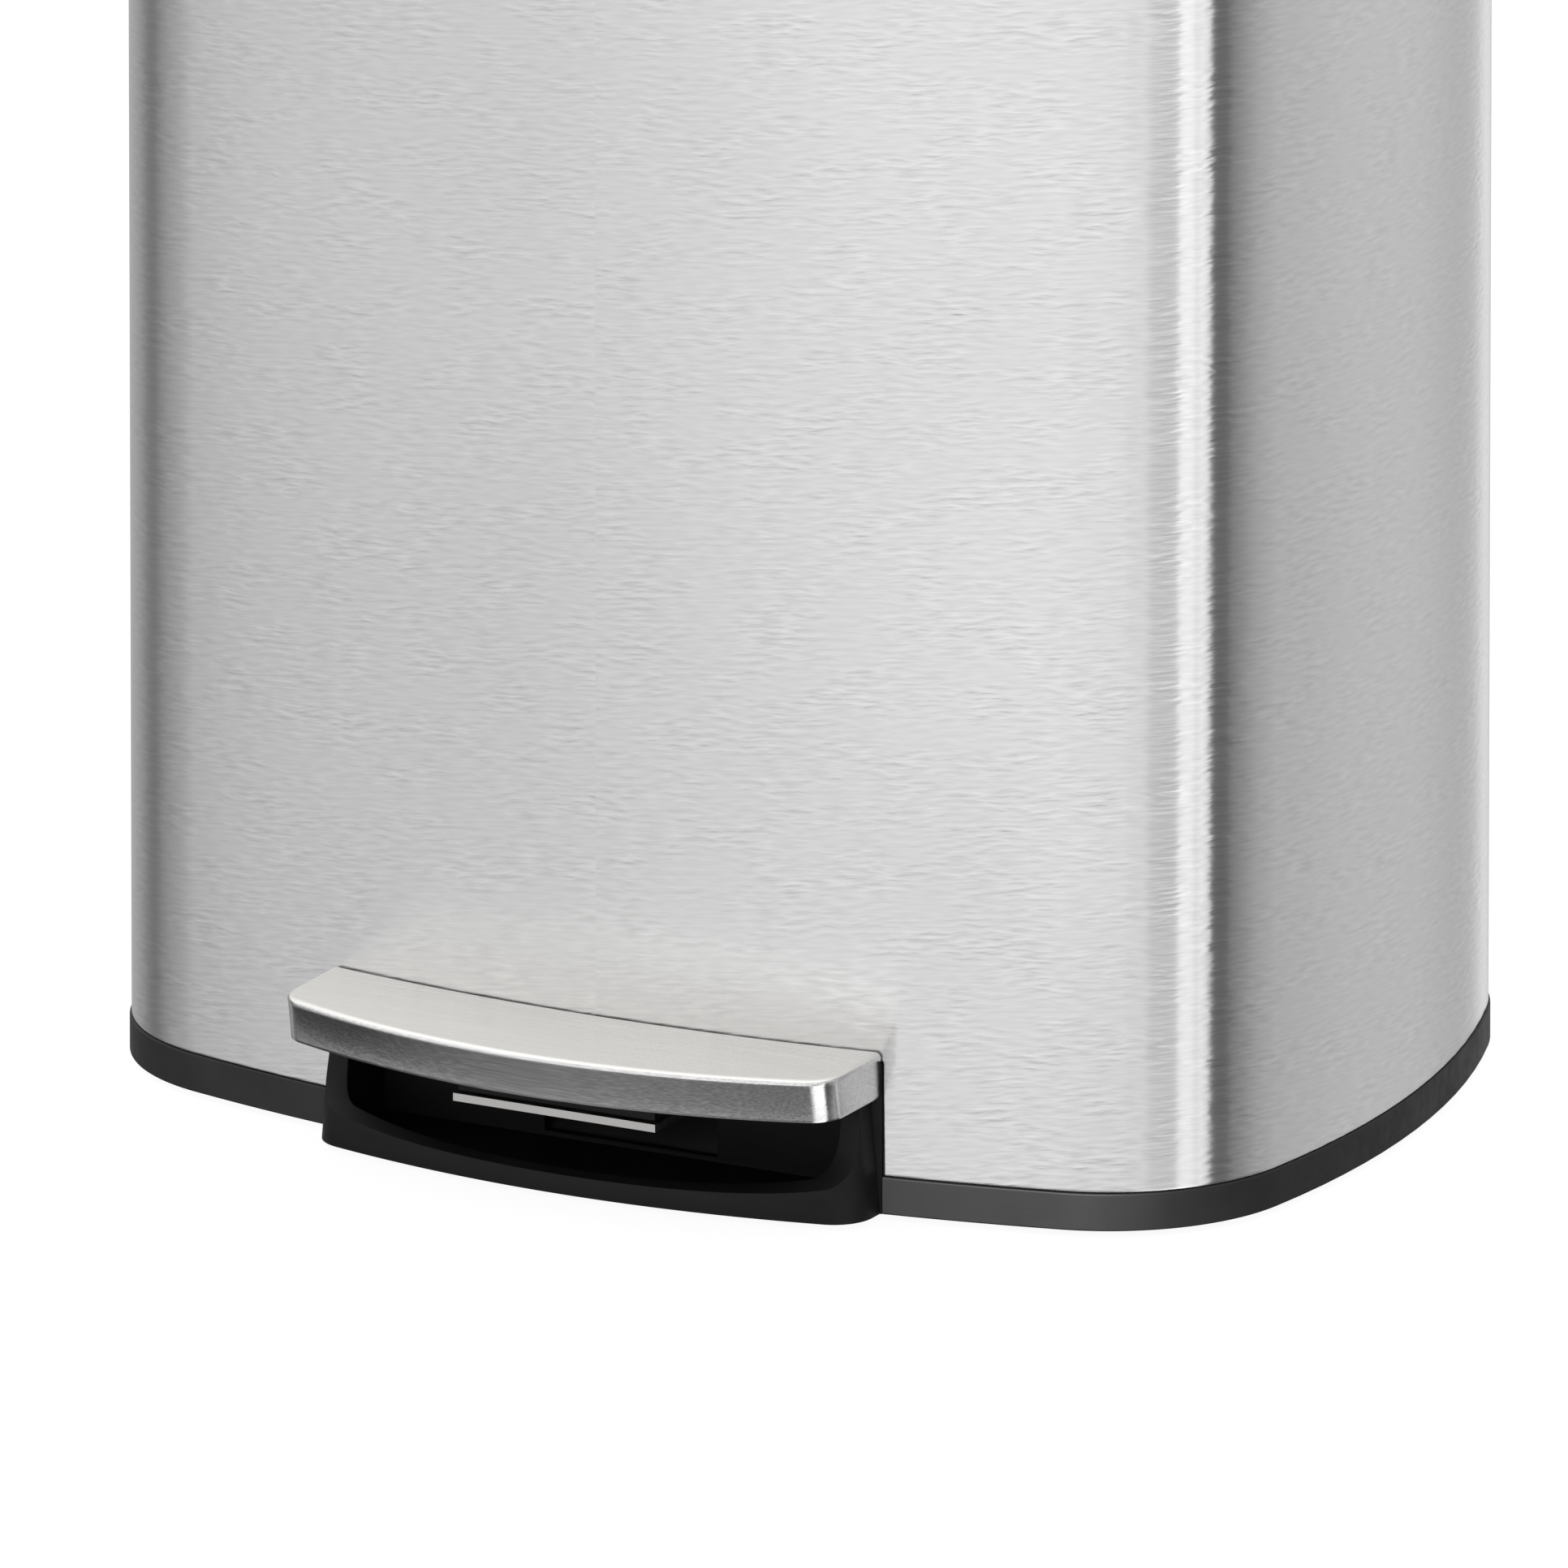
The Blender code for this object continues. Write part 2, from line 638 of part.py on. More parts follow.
def pedal_core():
    """Plastic filler between the tread and the lever, with a boss down to the lever's pad."""
    half = 0.075
    top = PEDAL_TOP - PEDAL_WALL - GAP
    back = rear_along_body(half, PEDAL_REAR_INSET - 0.0006)
    outline = bow_front(half, PEDAL_FRONT + 0.006, PEDAL_FRONT_RADIUS, 0.006, back)
    made, at = slab("pedal_core", [outline], 0.0445, top)
    core = piece(made, BLACK_PLASTIC, at, frame=PEDAL)
    boss_low = LEVER_TOP_FRONT + GAP
    boss = block("core_boss", (-0.034, 0.034), (-0.174, -0.1505), (boss_low, 0.048))
    boolean(core, tool(*boss), "UNION")
    for name, x, y in PEDAL_SCREWS:
        hole = cylinder(name + "_core_hole", 0.0020, 0.016, SMALL_STEPS)
        boolean(core, tool(hole, (x, y, boss_low)))


def lever_outline():
    """The lever from the side: flat under the pedal, then sloping down to the rear."""
    front = LEVER_FRONT + 0.010
    return [
        (LEVER_REAR, LEVER_TOP_REAR),
        (LEVER_BEND, LEVER_TOP_FRONT),
        (front, LEVER_TOP_FRONT),
        (front, LEVER_TOP_FRONT - 0.004),
        (-0.145, LEVER_TOP_FRONT - LEVER_DEPTH),
        (LEVER_BEND, LEVER_TOP_FRONT - LEVER_DEPTH),
        (LEVER_REAR, LEVER_TOP_REAR - LEVER_DEPTH),
    ]


def pedal_lever():
    """Steel channel from the pedal to the lift rod, with lugs for the axle and a wide front pad."""
    width = 2 * LEVER_HALF_WIDTH
    arm = flat_solid("pedal_lever", [lever_outline()], width)
    arm.data.transform(Matrix.Translation((-PIVOT_Y, -PIVOT_Z, 0)))
    lever = piece(arm, ZINC, (0, PIVOT_Y, PIVOT_Z), PROFILE_ACROSS, PEDAL)
    along = (0, pi / 2, 0)
    lugs = cylinder("lever_lugs", 0.0075, width)
    boolean(lever, tool(lugs, (0, PIVOT_Y, PIVOT_Z), along), "UNION")
    inside_half = LEVER_HALF_WIDTH - LEVER_SHEET
    low_edge = [(LEVER_REAR + 0.01, -0.02), (-0.1685, -0.02), (-0.1685, LEVER_TOP_FRONT - LEVER_SHEET)]
    top_edge = [
        (LEVER_BEND, LEVER_TOP_FRONT - LEVER_SHEET),
        (LEVER_REAR + 0.01, LEVER_TOP_REAR - LEVER_SHEET - 0.0006),
    ]
    inside = flat_solid("lever_inside", [low_edge + top_edge], 2 * inside_half)
    boolean(lever, tool(inside, (0, 0, 0), PROFILE_ACROSS))
    pad = block(
        "lever_pad", (-LEVER_PAD_HALF_WIDTH, LEVER_PAD_HALF_WIDTH), (LEVER_FRONT, -0.146),
        (LEVER_TOP_FRONT - LEVER_SHEET - 0.0001, LEVER_TOP_FRONT - 0.0001),
    )
    boolean(lever, tool(*pad), "UNION")
    bore = cylinder("lever_bore", AXLE_RADIUS + GAP, 0.10)
    boolean(lever, tool(bore, (0, PIVOT_Y, PIVOT_Z), along))
    for name, x, y in PEDAL_SCREWS:
        hole = cylinder(name + "_pad_hole", 0.0020, 0.02, SMALL_STEPS)
        boolean(lever, tool(hole, (x, y, LEVER_TOP_FRONT)))


def pedal_screws():
    """Screws up through the lever's pad into the core's boss."""
    seat = LEVER_TOP_FRONT - LEVER_SHEET - GAP
    for name, x, y in PEDAL_SCREWS:
        piece(screw_solid(name), ZINC, (x, y, seat), (pi, 0, 0), PEDAL)


# ---------------------------------------------------------------- lift rod, sliding up and down


def lift_rod():
    """Steel rod from the lever's rear end to the lid bracket, with a round tip."""
    length = ROD_TOP - ROD_LOW
    tip = arc((0, length - ROD_RADIUS), ROD_RADIUS, pi, pi / 2, 4)
    profile = tip + [(ROD_RADIUS, 0), (0, 0)]
    profile[0] = (0, length)
    piece(turned("lift_rod", profile), ZINC, (0, ROD_Y, ROD_LOW), frame=ROD)


def rod_foot():
    """Plastic foot on the rod's lower end, with a domed sole on the lever."""
    seat = ROD_LOW - ROD_FOOT_LOW - GAP
    top = 0.014
    bore = ROD_RADIUS + GAP
    profile = [
        (0, seat),
        (bore, seat),
        (bore, top),
        (0.0052, top),
        (0.0065, top - 0.002),
        (0.0065, 0.0022),
        (0.0045, 0.0007),
        (0, 0),
    ]
    piece(turned("rod_foot", profile), BLACK_PLASTIC, (0, ROD_Y, ROD_FOOT_LOW), frame=ROD)


def spring_collar():
    collar = ring_solid("spring_collar", 0.0070, ROD_RADIUS + GAP, 0.005)
    piece(collar, BLACK_PLASTIC, (0, ROD_Y, COLLAR_LOW + 0.0025), frame=ROD)


def return_spring():
    """Coil spring round the rod, between its collar and the lower guide."""
    low = COLLAR_LOW + 0.005 + GAP + SPRING_WIRE
    high = GUIDE_LOW - GAP - SPRING_WIRE
    steps = SPRING_TURNS * SPRING_POINTS
    curve = bpy.data.curves.new("return_spring", "CURVE")
    curve.dimensions = "3D"
    curve.bevel_depth = SPRING_WIRE
    curve.bevel_resolution = 2
    curve.use_fill_caps = True
    spline = curve.splines.new("POLY")
    spline.points.add(steps)
    for i, point in enumerate(spline.points):
        turn = 2 * pi * SPRING_TURNS * i / steps
        height = (high - low) * (i / steps - 1)
        point.co = (SPRING_RADIUS * cos(turn), SPRING_RADIUS * sin(turn), height, 1)
    coil = mesh_from_curve(bpy.data.objects.new("return_spring_curve", curve), "return_spring")
    piece(coil, ZINC, (0, ROD_Y, high))


def damper_piston():
    """Piston rod that rides on the lift rod by an arm, and slides in the damper's cylinder."""
    height = 0.010
    outline = rectangle(-0.007, 0.007, ROD_Y - 0.007, DAMPER_Y + 0.006)
    bores = [circle((0, ROD_Y), ROD_RADIUS + GAP, 16), circle((0, DAMPER_Y), PISTON_RADIUS + GAP, 16)]
    made, at = slab("damper_arm", [outline, *bores], ARM_LOW, ARM_LOW + height)
    piece(made, BLACK_PLASTIC, at, frame=ROD)
    length = 0.110
    rod = cylinder("damper_piston", PISTON_RADIUS, length, 16)
    piece(rod, ZINC, (0, DAMPER_Y, ARM_LOW + length / 2 - 0.001), frame=ROD)


# ---------------------------------------------------------------- lid and its hinge


def hinge_block():
    """Plastic block on the collar's deck with two ears that hold the hinge pin."""
    low = LEDGE_TOP + GAP
    made, at = block("hinge_block", (-0.045, 0.045), (ROD_Y + 0.006, 0.1425), (low, low + 0.003))
    base = piece(made, BLACK_PLASTIC, at)
    round_top = arc((HINGE_Y, HINGE_Z), 0.0075, pi / 2, 3 * pi / 2, 10)
    foot = [(HINGE_Y - 0.008, low + 0.001), (HINGE_Y + 0.012, low + 0.001)]
    for name, side in (("hinge_ear_left", -1), ("hinge_ear_right", 1)):
        ear = flat_solid(name, [foot + round_top], 0.010)
        boolean(base, tool(ear, (side * EAR_X, 0, 0), PROFILE_ACROSS), "UNION")
    bore = cylinder("hinge_bore", HINGE_PIN_RADIUS + GAP, 0.12)
    boolean(base, tool(bore, (0, HINGE_Y, HINGE_Z), (0, pi / 2, 0)))
    for name, x, y, z in HINGE_SCREWS:
        boolean(base, screw_hole(name + "_hole", (x, y, z)))
        piece(screw_solid(name, length=0.0050), ZINC, (x, y, z + GAP))


def hinge_pin():
    half_length = EAR_X + 0.005 + 0.003
    pin = cylinder("hinge_pin", HINGE_PIN_RADIUS, 2 * half_length)
    piece(pin, ZINC, (0, HINGE_Y, HINGE_Z), (0, pi / 2, 0))
    for name, side in (("hinge_clip_left", -1), ("hinge_clip_right", 1)):
        clip = ring_solid(name, 0.0055, HINGE_PIN_RADIUS + GAP, 0.0010)
        piece(clip, ZINC, (side * (half_length - 0.0018), HINGE_Y, HINGE_Z), (0, pi / 2, 0))


def cover_profile(shrink):
    """The hinge cover from the side: a round barrel over the pin, falling to the rear edge."""
    radius = HINGE_BARREL_RADIUS - shrink
    barrel = arc((HINGE_Y, HINGE_Z), radius, 3 * pi / 2, pi + radians(-20), 9)
    rear = BODY_BACK - shrink
    back = [(rear - 0.003, HINGE_Z + 0.0095 - shrink), (rear, HINGE_Z + 0.006 - shrink), (rear, 0.59)]
    return barrel + back + [(HINGE_Y - radius, 0.59)]


def hinge_cover():
    """Black cover over the hinge, filling the plan behind the lid, with a slot for the bracket."""
    low = COLLAR_TOP + GAP
    made = flat_solid("hinge_cover", [cover_profile(0)], 0.40)
    cover = piece(made, BLACK_PLASTIC, (0, 0, 0), PROFILE_ACROSS)
    boolean(cover, tool(*slab("cover_plan", [plan_outline(0)], low, 0.70)), "INTERSECT")
    inside = flat_solid("cover_inside", [cover_profile(PLASTIC_WALL)], 0.38)
    inside = tool(inside, (0, 0, 0), PROFILE_ACROSS)
    boolean(inside, tool(*slab("cover_inside_plan", [plan_outline(PLASTIC_WALL)], 0.55, 0.68)), "INTERSECT")
    boolean(cover, inside)
    slot = COVER_SLOT_HALF_WIDTH
    boolean(cover, tool(*block("cover_slot", (-slot, slot), (0.100, 0.1395), (0.58, 0.70))))


def lid_skin():
    """Pressed steel lid with a round rim and a low crown, notched behind for the bracket."""
    rim = 0.011
    levels = [(plan_outline(SHELL_INSET, LID_BACK), LID_BOTTOM)]
    for step in range(5):
        turn = step * pi / 8
        inset = rim * (1 - cos(turn))
        outline = plan_outline(SHELL_INSET + inset, LID_BACK - inset)
        levels.append((outline, LID_SIDE_TOP + rim * sin(turn)))
    levels.append((scaled(outline, 0.85), LID_TOP - 0.0045))
    levels.append((scaled(outline, 0.5), LID_TOP))
    rings = [[(x, y, z) for x, y in outline] for outline, z in levels]
    pressed = loft("lid_skin", rings, top_cap=True)
    pressed.data.transform(Matrix.Translation(-LID.location))
    skin = piece(pressed, BRUSHED_STEEL, LID.location, frame=LID)
    solidify(skin, 0.001)
    boolean(skin, tool(*block("lid_notch", (-0.0305, 0.0305), (0.096, 0.12), (0.60, 0.6345))))


def lid_liner():
    """Black plastic inside of the lid: a flat panel with a rim that fits in the steel skin."""
    inset = SHELL_INSET + 0.001 + GAP
    panel_low = 0.6100
    back = LID_BACK - 0.001 - GAP
    rim = [plan_outline(inset, back), plan_outline(inset + 0.0016, back - 0.0016)]
    made, at = slab("lid_liner", rim, LID_BOTTOM + 0.0005, 0.622)
    liner = piece(made, BLACK_PLASTIC, at, frame=LID)
    panel = slab("liner_panel", [plan_outline(inset + 0.0008, back - 0.0008)], panel_low, panel_low + 0.0025)
    boolean(liner, tool(*panel), "UNION")
    boolean(liner, tool(*block("liner_notch", (-0.0305, 0.0305), (0.0995, 0.13), (0.60, 0.63))))
    for name, x, y in BRACKET_SCREWS:
        boolean(liner, tool(cylinder(name + "_liner_hole", 0.0020, 0.02, SMALL_STEPS), (x, y, panel_low)))
    for name, x, y in BUMPERS:
        boolean(liner, tool(cylinder(name + "_hole", 0.0023, 0.02, SMALL_STEPS), (x, y, panel_low)))


def lid_bumpers():
    """Rubber buttons under the lid's front corners, each with a stem in the liner."""
    low = COLLAR_TOP + GAP
    seat = 0.6100 - GAP
    profile = [
        (0, 0.0070),
        (0.0020, 0.0070),
        (0.0020, seat - low),
        (0.0040, seat - low),
        (0.0040, 0.0008),
        (0.0032, 0),
        (0, 0),
    ]
    for name, x, y in BUMPERS:
        piece(turned(name, profile, steps=16), RUBBER, (x, y, low), frame=LID)


def lid_bracket():
    """Steel bracket in the lid: a base plate, two arms to the hinge pin, and a sloping push plate."""
    base_low = 0.6128
    sheet = 0.002
    half = LUG_HALF_WIDTH
    made, at = block("lid_bracket", (-half, half), (0.066, 0.099), (base_low, base_low + sheet))
    bracket = piece(made, ZINC, at, frame=LID)
    arm_end = arc((HINGE_Y, HINGE_Z), 0.0065, radians(10), radians(195), 9)
    reach = PUSH_REACH + 0.0015
    push_tip = (HINGE_Y - reach * cos(PUSH_ANGLE), HINGE_Z + reach * sin(PUSH_ANGLE) + 0.001)
    arm = [(0.066, base_low + 0.0001), (0.0985, base_low + 0.0001), push_tip, *arm_end, (0.066, 0.6190)]
    for name, side in (("bracket_arm_left", -1), ("bracket_arm_right", 1)):
        arm_solid = flat_solid(name, [arm], sheet)
        boolean(bracket, tool(arm_solid, (side * (half - 0.0012), 0, 0), PROFILE_ACROSS), "UNION")
    along = Vector((0, -cos(PUSH_ANGLE), sin(PUSH_ANGLE)))
    above = Vector((0, sin(PUSH_ANGLE), cos(PUSH_ANGLE)))
    plate_start = 0.0045
    plate_length = PUSH_REACH - plate_start
    plate_span = (-plate_length / 2, plate_length / 2)
    plate = block("push_plate", (-0.0262, 0.0262), plate_span, (-sheet / 2, sheet / 2))[0]
    middle = Vector((0, HINGE_Y, HINGE_Z)) + along * (PUSH_REACH + plate_start) / 2
    middle += above * (sheet / 2 - PUSH_OFFSET)
    boolean(bracket, tool(plate, middle, (-PUSH_ANGLE, 0, 0)), "UNION")
    bore = cylinder("bracket_bore", HINGE_PIN_RADIUS + GAP, 0.12)
    boolean(bracket, tool(bore, (0, HINGE_Y, HINGE_Z), (0, pi / 2, 0)))
    for name, x, y in BRACKET_SCREWS:
        boolean(bracket, tool(cylinder(name + "_bracket_hole", 0.0020, 0.02, SMALL_STEPS), (x, y, base_low)))
        head_low = base_low + sheet + GAP
        piece(screw_solid(name, length=0.0055), ZINC, (x, y, head_low), frame=LID)


# ---------------------------------------------------------------- the whole can

BLOCK_X = LEVER_HALF_WIDTH + 0.001 + AXLE_BLOCK / 2
EAR_X = 0.038
FEET = [
    ("foot_front_left", -0.140, -0.090),
    ("foot_front_right", 0.140, -0.090),
    ("foot_rear_left", -0.120, 0.105),
    ("foot_rear_right", 0.120, 0.105),
]
BASE_SCREWS = [
    ("housing_screw_left", -0.070, -0.114, 0.0083),
    ("housing_screw_right", 0.070, -0.114, 0.0083),
    ("block_screw_left", -BLOCK_X, PIVOT_Y + 0.014, 0.0093),
    ("block_screw_right", BLOCK_X, PIVOT_Y + 0.014, 0.0093),
]
PEDAL_SCREWS = [("pedal_screw_left", -0.029, -0.157), ("pedal_screw_right", 0.029, -0.157)]
HINGE_SCREWS = [("hinge_screw_left", -0.024, 0.134, 0.6047), ("hinge_screw_right", 0.024, 0.134, 0.6047)]
BRACKET_SCREWS = [("bracket_screw_left", -0.016, 0.078), ("bracket_screw_right", 0.016, 0.078)]
BUMPERS = [("lid_bumper_left", -0.145, -0.118), ("lid_bumper_right", 0.145, -0.118)]

clear_scene()
PARTS = collection("pedal_trash_can")
CUTTERS = collection("cutters")
PLAN = empty("plan", (0, PLAN_SHIFT, 0))
LID = empty("lid_hinge", (0, HINGE_Y, HINGE_Z), PLAN)
PEDAL = empty("pedal_pivot", (0, PIVOT_Y, PIVOT_Z), PLAN)
ROD = empty("lift_rod_slide", (0, ROD_Y, ROD_LOW), PLAN)

BRUSHED_STEEL = material("brushed_steel", (0.62, 0.62, 0.61), 0.32, 1.0)
BLACK_PLASTIC = material("black_plastic", (0.022, 0.022, 0.023), 0.45)
GREY_PLASTIC = material("grey_plastic", (0.10, 0.10, 0.105), 0.5)
BUCKET_PLASTIC = material("bucket_plastic", (0.045, 0.045, 0.048), 0.5)
ZINC = material("zinc_plated_steel", (0.55, 0.55, 0.54), 0.35, 1.0)
RUBBER = material("rubber", (0.02, 0.02, 0.02), 0.8)

base_tray()
feet()
pedal_housing()
base_screws()
axle_blocks()
pedal_axle()
false_floor()
body_shell()
top_collar()
inner_bucket()
rod_guides()
damper()
pedal_cap()
pedal_core()
pedal_lever()
pedal_screws()
lift_rod()
rod_foot()
spring_collar()
return_spring()
damper_piston()
hinge_block()
hinge_pin()
hinge_cover()
lid_skin()
lid_liner()
lid_bumpers()
lid_bracket()
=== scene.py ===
"""Looks of a pedal trash can: brushed steel body and lid on a black base, with a wide steel tread.

Heights and places come from the CAD frame. The plan outline and the sections below are the ones the
can is made to, drawn here with finer steps and rounded edges. Metres, +Z up, -Y the front.
"""

from math import acos, asin, cos, pi, radians, sin, sqrt

import bmesh
import bpy
from mathutils import Matrix, Vector


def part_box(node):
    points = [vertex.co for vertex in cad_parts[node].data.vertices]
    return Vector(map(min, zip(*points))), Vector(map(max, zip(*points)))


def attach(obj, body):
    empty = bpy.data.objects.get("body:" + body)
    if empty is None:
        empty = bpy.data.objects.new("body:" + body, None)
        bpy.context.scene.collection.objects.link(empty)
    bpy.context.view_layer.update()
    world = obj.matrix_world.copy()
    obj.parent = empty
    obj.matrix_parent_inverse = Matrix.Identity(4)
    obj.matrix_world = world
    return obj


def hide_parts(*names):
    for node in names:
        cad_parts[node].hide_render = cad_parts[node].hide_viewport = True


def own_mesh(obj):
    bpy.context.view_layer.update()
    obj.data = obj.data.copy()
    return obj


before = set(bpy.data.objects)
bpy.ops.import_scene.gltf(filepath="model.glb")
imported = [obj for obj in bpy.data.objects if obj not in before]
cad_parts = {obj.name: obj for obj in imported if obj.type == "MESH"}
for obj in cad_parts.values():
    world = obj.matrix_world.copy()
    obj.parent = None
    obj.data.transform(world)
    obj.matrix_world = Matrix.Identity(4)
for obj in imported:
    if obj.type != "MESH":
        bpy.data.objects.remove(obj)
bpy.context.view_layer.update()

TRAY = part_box("base_tray")
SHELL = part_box("body_shell")
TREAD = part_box("pedal_cap")
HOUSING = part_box("pedal_housing")
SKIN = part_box("lid_skin")
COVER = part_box("hinge_cover")
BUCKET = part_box("inner_bucket")
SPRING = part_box("return_spring")

# Plan outline: four arcs from the middle of the front to the flat back, each ending at the angle
# that its outward normal makes with the front.
RADII = (0.592, 0.063, 0.368, 0.075)
SWEEPS = (0, radians(14.73), radians(82.7), radians(110.9), pi)
ARC_STEPS = (16, 26, 14, 22)
SHELL_INSET = 0.0006
PLAN_Y = (SHELL[0].y + SHELL[1].y) / 2
HALF_DEPTH = (SHELL[1].y - SHELL[0].y) / 2 + SHELL_INSET
# The point on the middle line about which the lid's crown and the bucket get smaller
MIDDLE_Y = -0.025
# What parts that don't touch are kept apart by
GAP = 0.0003

SHELL_WALL = 0.0008
UPSTAND_INSET = 0.0017
UPSTAND_WALL = 0.002

# Middle of the view's frame, from the middle of the plan at the ring's lower edge
VIEW_AZIMUTH = radians(28.4)
VIEW_ELEVATION = radians(16.8)
VIEW_RIGHT = -0.01344
VIEW_UP = 0.0819
VIEW_WIDTH = 0.4809
LENS_MM = 1500.0
SENSOR_MM = 36.0


# ---------------------------------------------------------------- outlines


def arc(centre, radius, start, end, steps):
    """Points on a circle, by the angle that the outward normal makes with -Y, towards +X."""
    span = [start + (end - start) * i / steps for i in range(steps + 1)]
    return [(centre[0] + radius * sin(t), centre[1] - radius * cos(t)) for t in span]


def outline_arcs():
    """(centre, radius, start, end) of the right half's arcs, about the middle of the plan."""
    centre = Vector((0, RADII[0] - HALF_DEPTH))
    arcs = []
    for i, radius in enumerate(RADII):
        if i:
            centre = centre + (RADII[i - 1] - radius) * Vector((sin(SWEEPS[i]), -cos(SWEEPS[i])))
        arcs.append((centre, radius, SWEEPS[i], SWEEPS[i + 1]))
    return arcs


def plan_outline(inset, back=None, split=()):
    """The can's outline moved inwards by inset, with a straight back at Y = back if that is given.

    split holds distances from the middle at which the front gets points of its own.
    """
    half = []
    for steps, (centre, radius, start, end) in zip(ARC_STEPS, outline_arcs()):
        if back is not None and end == pi:
            end = acos((centre.y - back) / (radius - inset))
        density = steps / (end - start)
        for reach in split if start == 0 else ():
            at = asin(reach / (radius - inset))
            inner = max(1, round(density * (at - start)))
            half += arc(centre, radius - inset, start, at, inner)[1:]
            start, steps = at, steps - inner
        half += arc(centre, radius - inset, start, end, steps)[1:]
    front = (0, inset - HALF_DEPTH)
    if back is None:
        return [front] + half + [(-x, y) for x, y in reversed(half[:-1])]
    return [front] + half + [(-x, y) for x, y in reversed(half)]


def scaled(outline, factor):
    """An outline made smaller about the middle of the lid and the bucket."""
    return [(x * factor, MIDDLE_Y + (y - MIDDLE_Y) * factor) for x, y in outline]


def front_arc_y(x, inset):
    """Y of the can's front face, moved inwards by inset, at a distance x from the middle."""
    return RADII[0] - HALF_DEPTH - sqrt((RADII[0] - inset) ** 2 - x**2)


def bow_front(half_width, front, radius, corner, back):
    """An outline with a bowed front and round front corners, closed by the points of back."""
    centre = (0, front + radius)
    side = half_width - corner
    sweep = asin(side / (radius - corner))
    corner_y = centre[1] - (radius - corner) * cos(sweep)
    bow = arc(centre, radius, 0, sweep, 18)[:-1]
    half = bow + arc((side, corner_y), corner, sweep, pi / 2, 12)
    return [(-x, y) for x, y in reversed(half[1:])] + half + back


def rear_along_body(half_width, inset):
    """Points from right to left along the can's front face, to close a bow_front outline."""
    steps = 24
    across = [half_width * (1 - 2 * i / steps) for i in range(steps + 1)]
    return [(x, front_arc_y(x, inset)) for x in across]


# ---------------------------------------------------------------- meshes


def mesh_object(name, bm):
    """An object in the can's own frame, from a mesh drawn about the middle of the plan."""
    if all(edge.is_manifold for edge in bm.edges):
        bmesh.ops.recalc_face_normals(bm, faces=bm.faces)
    mesh = bpy.data.meshes.new(name)
    bm.to_mesh(mesh)
    bm.free()
    mesh.transform(Matrix.Translation((0, PLAN_Y, 0)))
    made = bpy.data.objects.new(name, mesh)
    bpy.context.scene.collection.objects.link(made)
    return made


def loft(name, rings, closed=True, low_cap=False, top_cap=False, top_back=()):
    """A surface through rings of as many points each. Open rings join only side by side."""
    bm = bmesh.new()
    rows = [[bm.verts.new(point) for point in ring] for ring in rings]
    spans = len(rings[0]) if closed else len(rings[0]) - 1
    for lower, upper in zip(rows, rows[1:]):
        for i in range(spans):
            j = (i + 1) % len(lower)
            bm.faces.new((lower[i], lower[j], upper[j], upper[i]))
    if low_cap:
        bm.faces.new(reversed(rows[0]))
    if top_cap:
        bm.faces.new(rows[-1] + [bm.verts.new(point) for point in top_back])
    return mesh_object(name, bm)


def ring_at(outline, z):
    return [(x, y, z) for x, y in outline]


def slab(name, outline, low, high):
    """A flat solid between two heights."""
    rings = [ring_at(outline, low), ring_at(outline, high)]
    return loft(name, rings, low_cap=True, top_cap=True)


def bar_across(name, profile, half_width):
    """A profile of (Y, Z) points carried across the can."""
    rings = [[(x, y, z) for y, z in profile] for x in (-half_width, half_width)]
    return loft(name, rings, low_cap=True, top_cap=True)


def block(name, x_span, y_span, z_span):
    corners = [(x_span[0], y_span[0]), (x_span[1], y_span[0]), (x_span[1], y_span[1])]
    return slab(name, corners + [(x_span[0], y_span[1])], *z_span)


def cylinder(name, centre, radius, low, high, steps=32):
    return slab(name, arc(centre, radius, 0, 2 * pi, steps)[:-1], low, high)


def settle(obj):
    """Gives an object the mesh that its modifiers make."""
    graph = bpy.context.evaluated_depsgraph_get()
    made = bpy.data.meshes.new_from_object(obj.evaluated_get(graph))
    obj.modifiers.clear()
    obj.data = made
    return obj


def carve(obj, other, operation="DIFFERENCE"):
    """Cuts or joins obj with other, which is used up."""
    modifier = obj.modifiers.new(operation.lower(), "BOOLEAN")
    modifier.operation = operation
    modifier.solver = "EXACT"
    modifier.object = other
    settle(obj)
    bpy.data.objects.remove(other, do_unlink=True)
    return obj


def solidify(obj, thickness):
    """Gives an open surface a wall on its inner side."""
    modifier = obj.modifiers.new("wall", "SOLIDIFY")
    modifier.thickness = thickness
    modifier.offset = -1
    modifier.use_even_offset = True
    return settle(obj)


def round_edges(obj, width, steps, limit):
    """Rounds the edges that turn by more than limit degrees, and shades the rest smooth."""
    modifier = obj.modifiers.new("edges", "BEVEL")
    modifier.width = width
    modifier.segments = steps
    modifier.limit_method = "ANGLE"
    modifier.angle_limit = radians(limit)
    modifier.use_clamp_overlap = True
    modifier.harden_normals = False
    settle(obj)
    return smooth(obj)


def smooth(obj, limit=30.0):
    obj.data.shade_smooth()
    obj.data.set_sharp_from_angle(angle=radians(limit))
    return obj


def even_shading(obj):
    """Keeps broad flat faces flat up to the rounded edges beside them."""
    modifier = obj.modifiers.new("shading", "WEIGHTED_NORMAL")
    modifier.keep_sharp = True
    return settle(obj)


